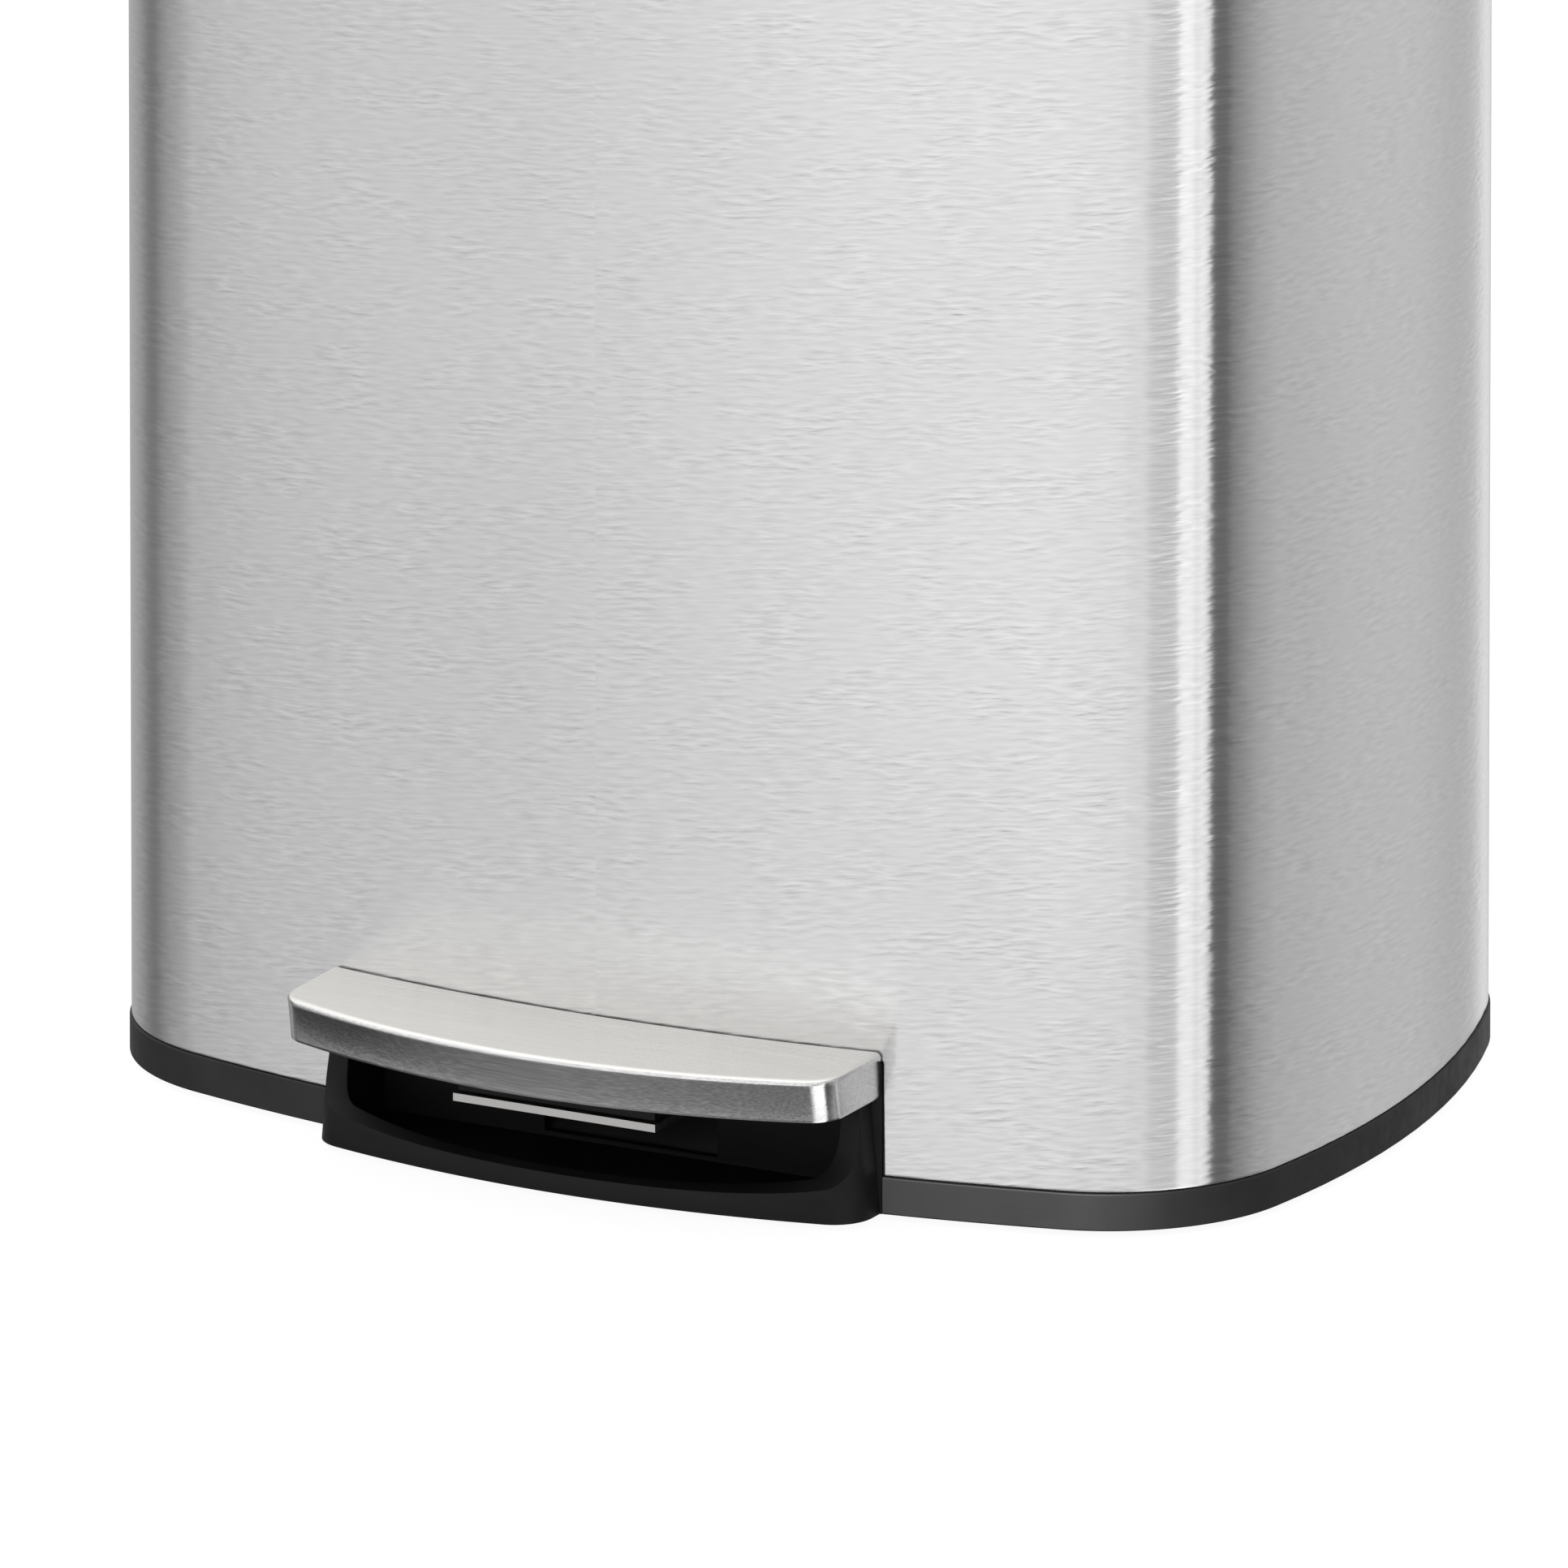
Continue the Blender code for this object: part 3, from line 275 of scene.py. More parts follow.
def softened(node, width):
    """A copy of a CAD part with rounded edges, which stands for it."""
    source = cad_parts[node]
    made = bpy.data.objects.new(node + "_detail", source.data.copy())
    bpy.context.scene.collection.objects.link(made)
    bm = bmesh.new()
    bm.from_mesh(made.data)
    bmesh.ops.remove_doubles(bm, verts=bm.verts, dist=0.000005)
    bmesh.ops.dissolve_limit(bm, angle_limit=radians(0.3), verts=bm.verts, edges=bm.edges)
    bm.to_mesh(made.data)
    bm.free()
    return even_shading(round_edges(made, width, 2, 35.0))


def wall_finish(obj, finish):
    """Gives the upright faces of a piece a material of their own. On the lid and the tread these are
    differently toned copies of one steel: painted light and shade.
    """
    obj.data.materials.append(finish)
    for polygon in obj.data.polygons:
        if abs(polygon.normal.z) < 0.5:
            polygon.material_index = 1
    return obj


def piece(obj, body, finish, slot, *nodes):
    """Puts a material on a piece, and has it ride on its body and stand for its CAD nodes."""
    obj.data.materials.clear()
    obj.data.materials.append(finish)
    for polygon in obj.data.polygons:
        polygon.material_index = 0
    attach(obj, body)
    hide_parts(*nodes)
    return obj


# ---------------------------------------------------------------- materials


def add(tree, kind, inputs=None, **settings):
    """A node with its settings, and its inputs set or linked."""
    made = tree.nodes.new(kind)
    for name, value in settings.items():
        setattr(made, name, value)
    for key, value in (inputs or {}).items():
        if isinstance(value, bpy.types.NodeSocket):
            tree.links.new(value, made.inputs[key])
        else:
            made.inputs[key].default_value = value
    return made


def new_material(name):
    made = bpy.data.materials.new(name)
    made.use_nodes = True
    return made, made.node_tree, made.node_tree.nodes["Principled BSDF"]


def noise(tree, vector, scale, detail=2.0, roughness=0.5, stretch=(1, 1, 1)):
    """A noise's value over coordinates in metres, with that many features in each metre."""
    mapped = add(tree, "ShaderNodeMapping", {"Vector": vector, "Scale": stretch})
    made = add(tree, "ShaderNodeTexNoise", {
        "Vector": mapped.outputs[0], "Scale": scale, "Detail": detail, "Roughness": roughness,
    })
    return made.outputs["Fac"]


def spread(tree, value, low, high, to_low, to_high):
    """A value carried from one range to another, and kept in it."""
    made = add(tree, "ShaderNodeMapRange", {
        "Value": value, "From Min": low, "From Max": high, "To Min": to_low, "To Max": to_high,
    })
    return made.outputs[0]


def combine(tree, operation, first, second):
    made = add(tree, "ShaderNodeMath", {0: first, 1: second}, operation=operation)
    return made.outputs[0]


def tinted(tree, factor, first, second):
    """A colour between two, by a factor."""
    made = add(tree, "ShaderNodeMix", data_type="RGBA")
    tree.links.new(factor, made.inputs[0])
    made.inputs[6].default_value = (*first, 1)
    made.inputs[7].default_value = (*second, 1)
    return made.outputs[2]


def coordinates(tree, by_sheet):
    """The sheet's own coordinates, along its bend and up it, or the piece's place."""
    if by_sheet:
        return add(tree, "ShaderNodeUVMap", uv_map="sheet").outputs[0]
    return add(tree, "ShaderNodeTexCoord").outputs["Object"]


# The brushing's noises, in features per metre along the can, across it and up it
STROKES = (130, 660, 660)
STROKE_PATCHES = (40, 90, 90)
HAIRLINES = (26, 2400, 2400)
# The slow wave that the strokes follow: features per metre, and metres from crest to trough
WAVES = 55.0
WAVE_LIFT = 0.0018
# The part of the relief that is hairlines
HAIR_SHARE = 0.03
# Painted shade: heights between which the body's sheet is painted darker towards its foot, and how much at
# the lower one
PAINTED_SHADE_FROM, PAINTED_SHADE_TO, PAINTED_SHADE_AMOUNT = 0.02, 0.42, 0.10


def brushed_steel(name, colour, roughness, upright, dashes, lines, depth, by_sheet=False, grain=1.0):
    """Steel brushed across the can. Upright walls blur what they mirror upwards.

    dashes and lines say how much the short strokes and the fine hairlines darken it, and depth is
    how deep the strokes are. grain is how strongly the brushing stretches what it mirrors. The
    body's sheet is painted a little darker towards the foot: painted shade for weaker light low down.
    """
    made, tree, shader = new_material(name)
    where = coordinates(tree, by_sheet)
    wave = noise(tree, where, WAVES, 1.0)
    lift = combine(tree, "MULTIPLY", combine(tree, "SUBTRACT", wave, 0.5), WAVE_LIFT)
    up = add(tree, "ShaderNodeCombineXYZ", {"Y": lift, "Z": 0.0 if by_sheet else lift})
    waved = add(tree, "ShaderNodeVectorMath", {0: where, 1: up.outputs[0]}, operation="ADD")
    strokes = noise(tree, waved.outputs[0], 1.0, 1.0, 0.4, STROKES)
    sparse = spread(tree, noise(tree, where, 1.0, 1.0, 0.5, STROKE_PATCHES), 0.35, 0.7, 0.3, 1.0)
    hairs = noise(tree, where, 1.0, 2.0, 0.6, HAIRLINES)
    patches = noise(tree, where, 9.0, 2.0)
    height = combine(tree, "MULTIPLY", combine(tree, "SUBTRACT", strokes, 0.5), sparse)
    relief = combine(tree, "ADD", height, combine(tree, "MULTIPLY", hairs, HAIR_SHARE))
    bump = add(tree, "ShaderNodeBump", {"Height": relief, "Distance": depth, "Strength": 1.0})
    rough = combine(tree, "ADD", spread(tree, patches, 0.3, 0.7, -0.015, 0.015),
                    spread(tree, hairs, 0.3, 0.7, roughness - 0.02, roughness + 0.02))
    shade = combine(tree, "ADD", spread(tree, height, -0.2, 0.2, dashes, 0.0),
                    spread(tree, hairs, 0.3, 0.7, lines, 0.0))
    if by_sheet:
        # Painted shade: the sheet's colour darkens with falling height on the sheet, standing in for weaker
        # light low down
        height_up = add(tree, "ShaderNodeSeparateXYZ", {0: where}).outputs[1]
        painted_shade = spread(tree, height_up, PAINTED_SHADE_FROM, PAINTED_SHADE_TO, PAINTED_SHADE_AMOUNT, 0.0)
        shade = combine(tree, "ADD", shade, painted_shade)
    tree.links.new(tinted(tree, shade, colour, (0, 0, 0)), shader.inputs["Base Color"])
    tree.links.new(rough, shader.inputs["Roughness"])
    tree.links.new(bump.outputs[0], shader.inputs["Normal"])
    tangent = add(tree, "ShaderNodeTangent", direction_type="RADIAL", axis="Z" if upright else "X")
    tree.links.new(tangent.outputs[0], shader.inputs["Tangent"])
    shader.inputs["Anisotropic"].default_value = grain
    shader.inputs["Anisotropic Rotation"].default_value = 0.25 if upright else 0.0
    shader.inputs["Metallic"].default_value = 1.0
    return made


def moulded_plastic(name, colour, roughness, specular, texture=0.00002):
    """Moulded plastic with a fine spark-eroded texture and a little unevenness."""
    made, tree, shader = new_material(name)
    where = coordinates(tree, False)
    fine = noise(tree, where, 2200.0, 2.0)
    broad = noise(tree, where, 60.0, 3.0)
    scuffs = noise(tree, where, 1.0, 3.0, 0.6, (40, 260, 260))
    relief = combine(tree, "ADD", fine, combine(tree, "MULTIPLY", broad, 2.0))
    bump = add(tree, "ShaderNodeBump", {"Height": relief, "Distance": texture, "Strength": 1.0})
    rough = combine(tree, "ADD", spread(tree, broad, 0.3, 0.7, -0.05, 0.05),
                    spread(tree, scuffs, 0.35, 0.75, roughness + 0.03, roughness - 0.05))
    lighter = [value * 1.5 + 0.002 for value in colour]
    tree.links.new(tinted(tree, combine(tree, "MULTIPLY", broad, scuffs), colour, lighter),
                   shader.inputs["Base Color"])
    tree.links.new(rough, shader.inputs["Roughness"])
    tree.links.new(bump.outputs[0], shader.inputs["Normal"])
    shader.inputs["Specular IOR Level"].default_value = specular
    return made


def plated_steel(name, colour, roughness):
    """Zinc-plated steel, cloudy in tone and gloss."""
    made, tree, shader = new_material(name)
    where = coordinates(tree, False)
    clouds = noise(tree, where, 220.0, 4.0, 0.6)
    grit = noise(tree, where, 2600.0, 1.0)
    bump = add(tree, "ShaderNodeBump", {"Height": grit, "Distance": 0.00001, "Strength": 1.0})
    darker = [value * 0.75 for value in colour]
    tree.links.new(tinted(tree, clouds, darker, colour), shader.inputs["Base Color"])
    tree.links.new(spread(tree, clouds, 0.3, 0.7, roughness - 0.06, roughness + 0.08),
                   shader.inputs["Roughness"])
    tree.links.new(bump.outputs[0], shader.inputs["Normal"])
    shader.inputs["Metallic"].default_value = 1.0
    return made


def rubber(name):
    """Matt rubber with a powdery bloom."""
    made, tree, shader = new_material(name)
    where = coordinates(tree, False)
    bloom = noise(tree, where, 300.0, 3.0)
    grit = noise(tree, where, 3000.0, 2.0)
    bump = add(tree, "ShaderNodeBump", {"Height": grit, "Distance": 0.00003, "Strength": 1.0})
    tree.links.new(tinted(tree, bloom, (0.012, 0.012, 0.012), (0.035, 0.034, 0.033)),
                   shader.inputs["Base Color"])
    tree.links.new(spread(tree, bloom, 0.3, 0.7, 0.75, 0.92), shader.inputs["Roughness"])
    tree.links.new(bump.outputs[0], shader.inputs["Normal"])
    return made


SHEET_STEEL = brushed_steel("sheet_steel", (0.745,) * 3, 0.19, True, 0.13, 0.05, 0.00016, by_sheet=True)
# Painted shade: the lid's top is a darker copy of the lid's own steel, so the brightly lit top does not look
# too light
LID_TOP_PAINTED_SHADE = brushed_steel("lid_top_steel_painted_shade", (0.50,) * 3, 0.24, False, 0.06, 0.05, 0.00006)
LID_WALL = brushed_steel("lid_wall_steel", (0.69,) * 3, 0.20, True, 0.10, 0.05, 0.00008)
# Painted light: the tread's top is a lighter, warmer copy of the steel of its lip, for the light on the top
TREAD_TOP_PAINTED_LIGHT = brushed_steel("tread_top_steel_painted_light", (0.80, 0.785, 0.76), 0.26, False, 0.02, 0.03, 0.00001)
TREAD_LIP = brushed_steel("tread_lip_steel", (0.74, 0.73, 0.73), 0.18, True, 0.06, 0.30, 0.00003, grain=0.4)
BLACK = moulded_plastic("black_moulding", (0.0018, 0.0018, 0.0018), 0.54, 0.20)
GREY = moulded_plastic("grey_moulding", (0.09, 0.09, 0.095), 0.48, 0.5)
DARK_GREY = moulded_plastic("bucket_moulding", (0.035, 0.035, 0.038), 0.42, 0.5, 0.00004)
PLATED = plated_steel("plated_steel", (0.52, 0.51, 0.50), 0.33)
RUBBER = rubber("foot_rubber")


# ---------------------------------------------------------------- body


# How much the strokes of the body's grain rise to the right, and fall to the back
GRAIN_TILT = (0.12, -0.10)
# How far from an edge a row of points holds the surface flat, up to the edge's rounding
HOLD = 0.0008
SHELL_EDGE = 0.0002


def body_sheet():
    """The steel body: one bent sheet, cut out for the pedal housing."""
    low, top = SHELL[0].z, SHELL[1].z
    half = HOUSING[1].x + GAP
    cut = HOUSING[1].z + GAP
    outline = plan_outline(SHELL_INSET, split=(half, half + HOLD))
    levels = [low, low + HOLD, cut - HOLD, cut, cut + HOLD, (cut + top) / 2, top - HOLD, top]
    bm = bmesh.new()
    rows = [[bm.verts.new((x, y, z)) for x, y in outline] for z in levels]
    uv = bm.loops.layers.uv.new("sheet")
    along = [0.0]
    for first, second in zip(outline, outline[1:] + outline[:1]):
        along.append(along[-1] + (Vector(second) - Vector(first)).length)
    for k, (lower, upper) in enumerate(zip(rows, rows[1:])):
        for i in range(len(outline)):
            j = (i + 1) % len(outline)
            middle = (outline[i][0] + outline[j][0]) / 2
            in_front = outline[i][1] < 0 and abs(middle) < half
            if levels[k] < cut and in_front:
                continue
            face = bm.faces.new((lower[i], lower[j], upper[j], upper[i]))
            places = ((i, k), (i + 1, k), (i + 1, k + 1), (i, k + 1))
            for loop, (column, row) in zip(face.loops, places):
                x, y = outline[column % len(outline)]
                loop[uv].uv = (along[column], levels[row] - GRAIN_TILT[0] * x - GRAIN_TILT[1] * y)
    for vert in [v for v in bm.verts if not v.link_faces]:
        bm.verts.remove(vert)
    sheet = solidify(mesh_object("body_sheet", bm), SHELL_WALL)
    return piece(round_edges(sheet, SHELL_EDGE, 2, 60.0), "root", SHEET_STEEL, "brushed_steel", "body_shell")


SEAM_HALF_WIDTH = 0.007
SEAM_PROUD = 0.0004
SEAM_SLOPE = 0.0006
SEAM_EDGE = 0.00015


def seam():
    """The lock seam up the middle of the back, where the sheet's ends are folded together."""
    half, flat = SEAM_HALF_WIDTH, SEAM_HALF_WIDTH - SEAM_SLOPE
    rear = HALF_DEPTH - SHELL_INSET
    inside, outside = rear - SEAM_PROUD, rear + SEAM_PROUD
    section = [(-half, inside), (half, inside), (half, rear), (flat, outside)]
    section += [(-flat, outside), (-half, rear)]
    made = slab("body_seam", section, SHELL[0].z + HOLD, SHELL[1].z - HOLD)
    even_shading(round_edges(made, SEAM_EDGE, 2, 20.0))
    made.data.materials.append(LID_WALL)
    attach(made, "root")
    return made


FEET = ("foot_front_left", "foot_front_right", "foot_rear_left", "foot_rear_right")
FOOT_HOLE_RADIUS = 0.0033
TRAY_FLOOR_LIFT = 0.0006
TRAY_FLOOR = 0.0024
# Where the tray's floor ends, inside the ring's lower edge
RING_FOOT = 0.0040


def base():
    """The black ring under the body, with its floor and its upstand."""
    low, ring_top = TRAY[0].z, SHELL[0].z - GAP
    top = TRAY[1].z
    floor_low = low + TRAY_FLOOR_LIFT
    floor_top = floor_low + TRAY_FLOOR
    soft, fine = 0.0006, 0.0004
    section = [(RING_FOOT, floor_low), (RING_FOOT, low)]
    section += ring_corner(soft, low, soft, upper=False)
    section += ring_corner(soft, ring_top, soft, upper=True)
    section += [(UPSTAND_INSET, ring_top), (UPSTAND_INSET, top - fine)]
    section += [(UPSTAND_INSET + fine, top), (UPSTAND_INSET + UPSTAND_WALL - fine, top)]
    section += [(UPSTAND_INSET + UPSTAND_WALL, top - fine), (UPSTAND_INSET + UPSTAND_WALL, floor_top)]
    rings = [ring_at(plan_outline(inset), z) for inset, z in section]
    tray = loft("base_ring", rings, low_cap=True, top_cap=True)
    half, back = HOUSING[1].x + GAP, HOUSING_BACK + GAP
    carve(tray, block("notch", (-half, half), (-0.2, back), (-0.01, 0.04)))
    for name in FEET:
        lowest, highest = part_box(name)
        at = ((lowest.x + highest.x) / 2, (lowest.y + highest.y) / 2 - PLAN_Y)
        carve(tray, cylinder("hole", at, FOOT_HOLE_RADIUS, -0.01, 0.01))
    return piece(even_shading(smooth(tray)), "root", BLACK, "black_plastic", "base_tray")


def ring_corner(inset, z, radius, upper):
    """Points of (inset, Z) round the ring's upper or lower edge, from below upwards."""
    steps = 4
    turns = [pi / 2 * i / steps for i in range(steps + 1)]
    if upper:
        return [(inset - radius * cos(t), z - radius + radius * sin(t)) for t in turns]
    return [(inset - radius * sin(t), z + radius - radius * cos(t)) for t in turns]


# ---------------------------------------------------------------- pedal

HOUSING_BACK = -0.1235
HOUSING_FRONT = -0.170
HOUSING_RADIUS = 0.35
HOUSING_CORNER = 0.013
WALL_TOP = 0.038
WALL_DRAFT = 0.003
RECESS_HALF_WIDTH = 0.0855
SILL_TOP = 0.008
SLOT_HALF_WIDTH = 0.030
HOUSING_WALL = 0.003
HOUSING_LIP = 0.004
# How far the walls stay inside the housing's sides, and how far in front of its back they start
WALL_INSET = 0.0005
WALL_START = 0.010
# The scoop in the sill: its radius, and how far back, forwards and up it cuts
SCOOP_RADIUS = 0.024
SCOOP_BACK = -0.1465
SCOOP_FRONT = -0.190
SCOOP_TOP = 0.060
# The slot through the back wall for the lever
SLOT_DEPTH = (-0.130, -0.115)
SLOT_LIFT = 0.0045
SLOT_TOP = 0.034
# The two tabs that are screwed to the tray
TAB_SPAN = (0.060, 0.080)
TAB_ROOT = 0.001
TAB_BACK = -0.106
TAB_HEIGHTS = (0.0033, 0.0083)
# The rounding of the black mouldings' edges
MOULDED_EDGE = 0.0008
# The rounding of the pressings' cut edges
SHEET_EDGE = 0.00025


def housing():
    """The black moulding round the recess under the pedal."""
    low, top = HOUSING[0].z, HOUSING[1].z
    half = HOUSING[1].x
    frame_outline = rear_along_body(half, GAP) + [(-half, HOUSING_BACK), (half, HOUSING_BACK)]
    made = slab("housing_moulding", frame_outline, low, top)
    reach, start = half - WALL_INSET, HOUSING_BACK - WALL_START
    ends = [(reach, start), (-reach, start)]
    bow = bow_front(reach, HOUSING_FRONT, HOUSING_RADIUS, HOUSING_CORNER, ends)
    drafted = [(x * (1 - WALL_DRAFT / half), y) for x, y in bow]
    rings = [ring_at(bow, low + 0.0001), ring_at(drafted, WALL_TOP)]
    carve(made, loft("walls", rings, low_cap=True, top_cap=True), "UNION")
    inner_back = HOUSING_BACK - HOUSING_WALL
    inner = bow_front(
        RECESS_HALF_WIDTH, HOUSING_FRONT + HOUSING_LIP, HOUSING_RADIUS, HOUSING_CORNER - HOUSING_LIP,
        [(RECESS_HALF_WIDTH, inner_back), (-RECESS_HALF_WIDTH, inner_back)],
    )
    carve(made, slab("recess", inner, low + HOUSING_WALL, top - HOUSING_WALL))
    middle = (HOUSING_FRONT - HOUSING_LIP, SILL_TOP + SCOOP_RADIUS)
    quarter = arc(middle, SCOOP_RADIUS, 0, radians(80), 24)
    far = [(SCOOP_BACK, SCOOP_TOP), (SCOOP_FRONT, SCOOP_TOP), (SCOOP_FRONT, SILL_TOP)]
    carve(made, bar_across("scoop", quarter + far, 0.125))
    slot = (-SLOT_HALF_WIDTH, SLOT_HALF_WIDTH)
    carve(made, block("slot", slot, SLOT_DEPTH, (low + SLOT_LIFT, SLOT_TOP)))
    for side in (-1, 1):
        x_span = sorted(side * x for x in TAB_SPAN)
        y_span = (HOUSING_BACK - TAB_ROOT, TAB_BACK)
        carve(made, block("tab", x_span, y_span, (low + TAB_HEIGHTS[0], TAB_HEIGHTS[1])), "UNION")
    return piece(round_edges(made, MOULDED_EDGE, 3, 40.0), "root", BLACK, "black_plastic", "pedal_housing")


TREAD_RADIUS = 0.247
TREAD_CORNER = 0.012
TREAD_EDGE = 0.0018
TREAD_WALL = 0.0012
# How far the tread's rear edge stays outside the can's outline
TREAD_OFF_BODY = 0.0004
# How far the sides and the front stand back: (inset, tuck) at the lower edge, HOLD above it, and
# where the top edge's rounding starts
TREAD_TUCKS = ((0.0001, 0.0021), (0.0001, 0.0020), (0.0001, 0.0002))


def tread_row(inset, height, tuck=0.0):
    """The tread's edge from the left rear end round the front to the right, moved inwards.

    tuck moves the front alone further in.
    """
    half = TREAD[1].x - inset
    front = TREAD[0].y - PLAN_Y + inset + tuck
    bow = bow_front(half, front, TREAD_RADIUS - inset, TREAD_CORNER - inset, [])
    end_y = front_arc_y(half, -TREAD_OFF_BODY)
    return ring_at([(-half, end_y)] + bow + [(half, end_y)], height)


def tread():
    """The pressed steel tread with its rounded top edge."""
    low, top = TREAD[0].z, TREAD[1].z
    edge = TREAD_EDGE
    heights = (low, low + HOLD, top - edge - HOLD)
    rows = [tread_row(inset, z, tuck) for (inset, tuck), z in zip(TREAD_TUCKS, heights)]
    steps = 8
    for i in range(steps + 1):
        turn = pi / 2 * i / steps
        rows.append(tread_row(edge * (1 - cos(turn)), top - edge * (1 - sin(turn))))
    behind = rear_along_body(TREAD[1].x - edge, -TREAD_OFF_BODY)[1:-1]
    made = loft("tread", rows, closed=False, top_cap=True, top_back=ring_at(behind, top))
    solidify(made, TREAD_WALL)
    # The tread's top gets the lighter, warmer copy of its steel: painted light
    made = piece(round_edges(made, SHEET_EDGE, 2, 60.0), "pedal", TREAD_TOP_PAINTED_LIGHT, "brushed_steel", "pedal_cap")
    return wall_finish(made, TREAD_LIP)


# ---------------------------------------------------------------- lid and hinge cover

LID_SHEET = 0.001
# How high above the lower edge a row of points keeps the lid's side upright
LID_SKIRT = 0.010
LID_SIDE_TOP = 0.630
LID_RIM = 0.011
LID_RIM_TURN = radians(75)
# How far out from the middle each ring of the crown lies, and how fast it falls to the rim
CROWN = (0.98, 0.95, 0.91, 0.86, 0.80, 0.73, 0.64, 0.52, 0.38, 0.20)
CROWN_POWER = 4.5
# What is cut from the lid's rear edge for the bracket: spans of X, Y and Z
LID_NOTCH = ((-0.0305, 0.0305), (0.096, 0.12), (0.60, 0.6345))


def lid():
    """The pressed steel lid, with a round rim and a low crown."""
    low, top = SKIN[0].z, SKIN[1].z
    back = SKIN[1].y - PLAN_Y
    levels = [(plan_outline(SHELL_INSET, back), low), (plan_outline(SHELL_INSET, back), low + LID_SKIRT)]
    steps = 10
    for i in range(steps + 1):
        turn = LID_RIM_TURN * i / steps
        inset = LID_RIM * (1 - cos(turn))
        outline = plan_outline(SHELL_INSET + inset, back - inset)
        levels.append((outline, LID_SIDE_TOP + LID_RIM * sin(turn)))
    shoulder = levels[-1][1]
    for factor in CROWN:
        height = shoulder + (top - shoulder) * (1 - factor**CROWN_POWER)
        levels.append((scaled(outline, factor), height))
    rings = [ring_at(ring, z) for ring, z in levels]
    made = solidify(loft("lid_pressing", rings, top_cap=True), LID_SHEET)
    carve(made, block("notch", *LID_NOTCH))
    # The lid's top gets the darker copy of its steel: painted shade
    made = piece(round_edges(made, SHEET_EDGE, 2, 60.0), "lid", LID_TOP_PAINTED_SHADE, "brushed_steel", "lid_skin")
    return wall_finish(made, LID_WALL)


HINGE_Y = 0.128
HINGE_Z = 0.626
BARREL_RADIUS = 0.0175
COVER_WALL = 0.002
# Below the cover's lower edge, where its profile is closed
COVER_FOOT = 0.59
# The slope at the cover's rear edge: how deep it is, and how far its two ends are above the pin
REAR_SLOPE = 0.003
REAR_SLOPE_HEIGHTS = (0.0095, 0.006)
# What is cut from the cover for the lid's bracket: spans of X, Y and Z
COVER_SLOT = ((-0.031, 0.031), (0.100, 0.1395), (0.58, 0.70))


def cover_profile(shrink):
    """The hinge cover from the side: a round barrel over the pin, falling to the rear edge."""
    radius = BARREL_RADIUS - shrink
    barrel = arc((HINGE_Y, HINGE_Z), radius, 3 * pi / 2, pi + radians(-20), 30)
    rear = HALF_DEPTH - shrink
    upper, lower = (HINGE_Z + rise - shrink for rise in REAR_SLOPE_HEIGHTS)
    back = [(rear - REAR_SLOPE, upper), (rear, lower), (rear, COVER_FOOT)]
    return barrel + back + [(HINGE_Y - radius, COVER_FOOT)]


def hinge_cover():
    """The black cover over the hinge, with a slot for the lid's bracket."""
    made = bar_across("hinge_cover_moulding", cover_profile(0), 0.20)
    carve(made, slab("plan", plan_outline(0), COVER[0].z, 0.70), "INTERSECT")
    inside = bar_across("inside", cover_profile(COVER_WALL), 0.19)
    carve(inside, slab("inside_plan", plan_outline(COVER_WALL), 0.55, 0.68), "INTERSECT")
    carve(made, inside)
    carve(made, block("slot", *COVER_SLOT))
    made = even_shading(round_edges(made, MOULDED_EDGE, 3, 40.0))
    return piece(made, "root", BLACK, "black_plastic", "hinge_cover")


# ---------------------------------------------------------------- bucket and spring


def round_rear(outline, given_up=5, steps=8):
    """An outline with a straight back, with its two rear corners rounded.

    given_up is how many points before each corner the rounding takes the place of.
    """
    half = outline[:len(outline) // 2 + 1]
    start, after, corner = (Vector(half[i]) for i in (-1 - given_up, -given_up, -1))
    slope = after - start
    turn = start + slope * ((corner.y - start.y) / slope.y)
    end = Vector((turn.x - (turn - start).length, corner.y))
    half = half[:-1 - given_up]
    for i in range(steps + 1):
        t = i / steps
        half.append(tuple(start * (1 - t) ** 2 + turn * (2 * t * (1 - t)) + end * t**2))
    return half + [(-x, y) for x, y in reversed(half[1:])]


# How far inside the can's outline the bucket's mouth and its rim are, and the Y of their backs
BUCKET_MOUTH = (0.0126, 0.0974)
BUCKET_RIM = (0.0065, 0.1035)
BUCKET_WALL = 0.002
BUCKET_EDGE = 0.0006
# The rounding of the bucket's bottom: its size against the mouth, and the height above the bottom
BUCKET_FOOT = ((0.845, 0), (0.875, 0.0004), (0.90, 0.0025), (0.917, 0.0065), (0.93, 0.013))


def bucket():
    """The plastic bucket that hangs in the collar by its rim."""
    low, top = BUCKET[0].z, BUCKET[1].z
    mouth = round_rear(plan_outline(*BUCKET_MOUTH))
    rim = round_rear(plan_outline(*BUCKET_RIM))
    height = top - BUCKET_WALL
    levels = [(scaled(mouth, factor), low + rise) for factor, rise in BUCKET_FOOT]
    rings = [ring_at(outline, z) for outline, z in levels + [(mouth, height), (rim, height)]]
    made = solidify(loft("bucket_moulding", rings, low_cap=True), BUCKET_WALL)
    return piece(round_edges(made, BUCKET_EDGE, 2, 50.0), "root", DARK_GREY, "bucket_plastic", "inner_bucket")


SPRING_WIRE = 0.0007
SPRING_RADIUS = 0.0052
SPRING_TURNS = 9


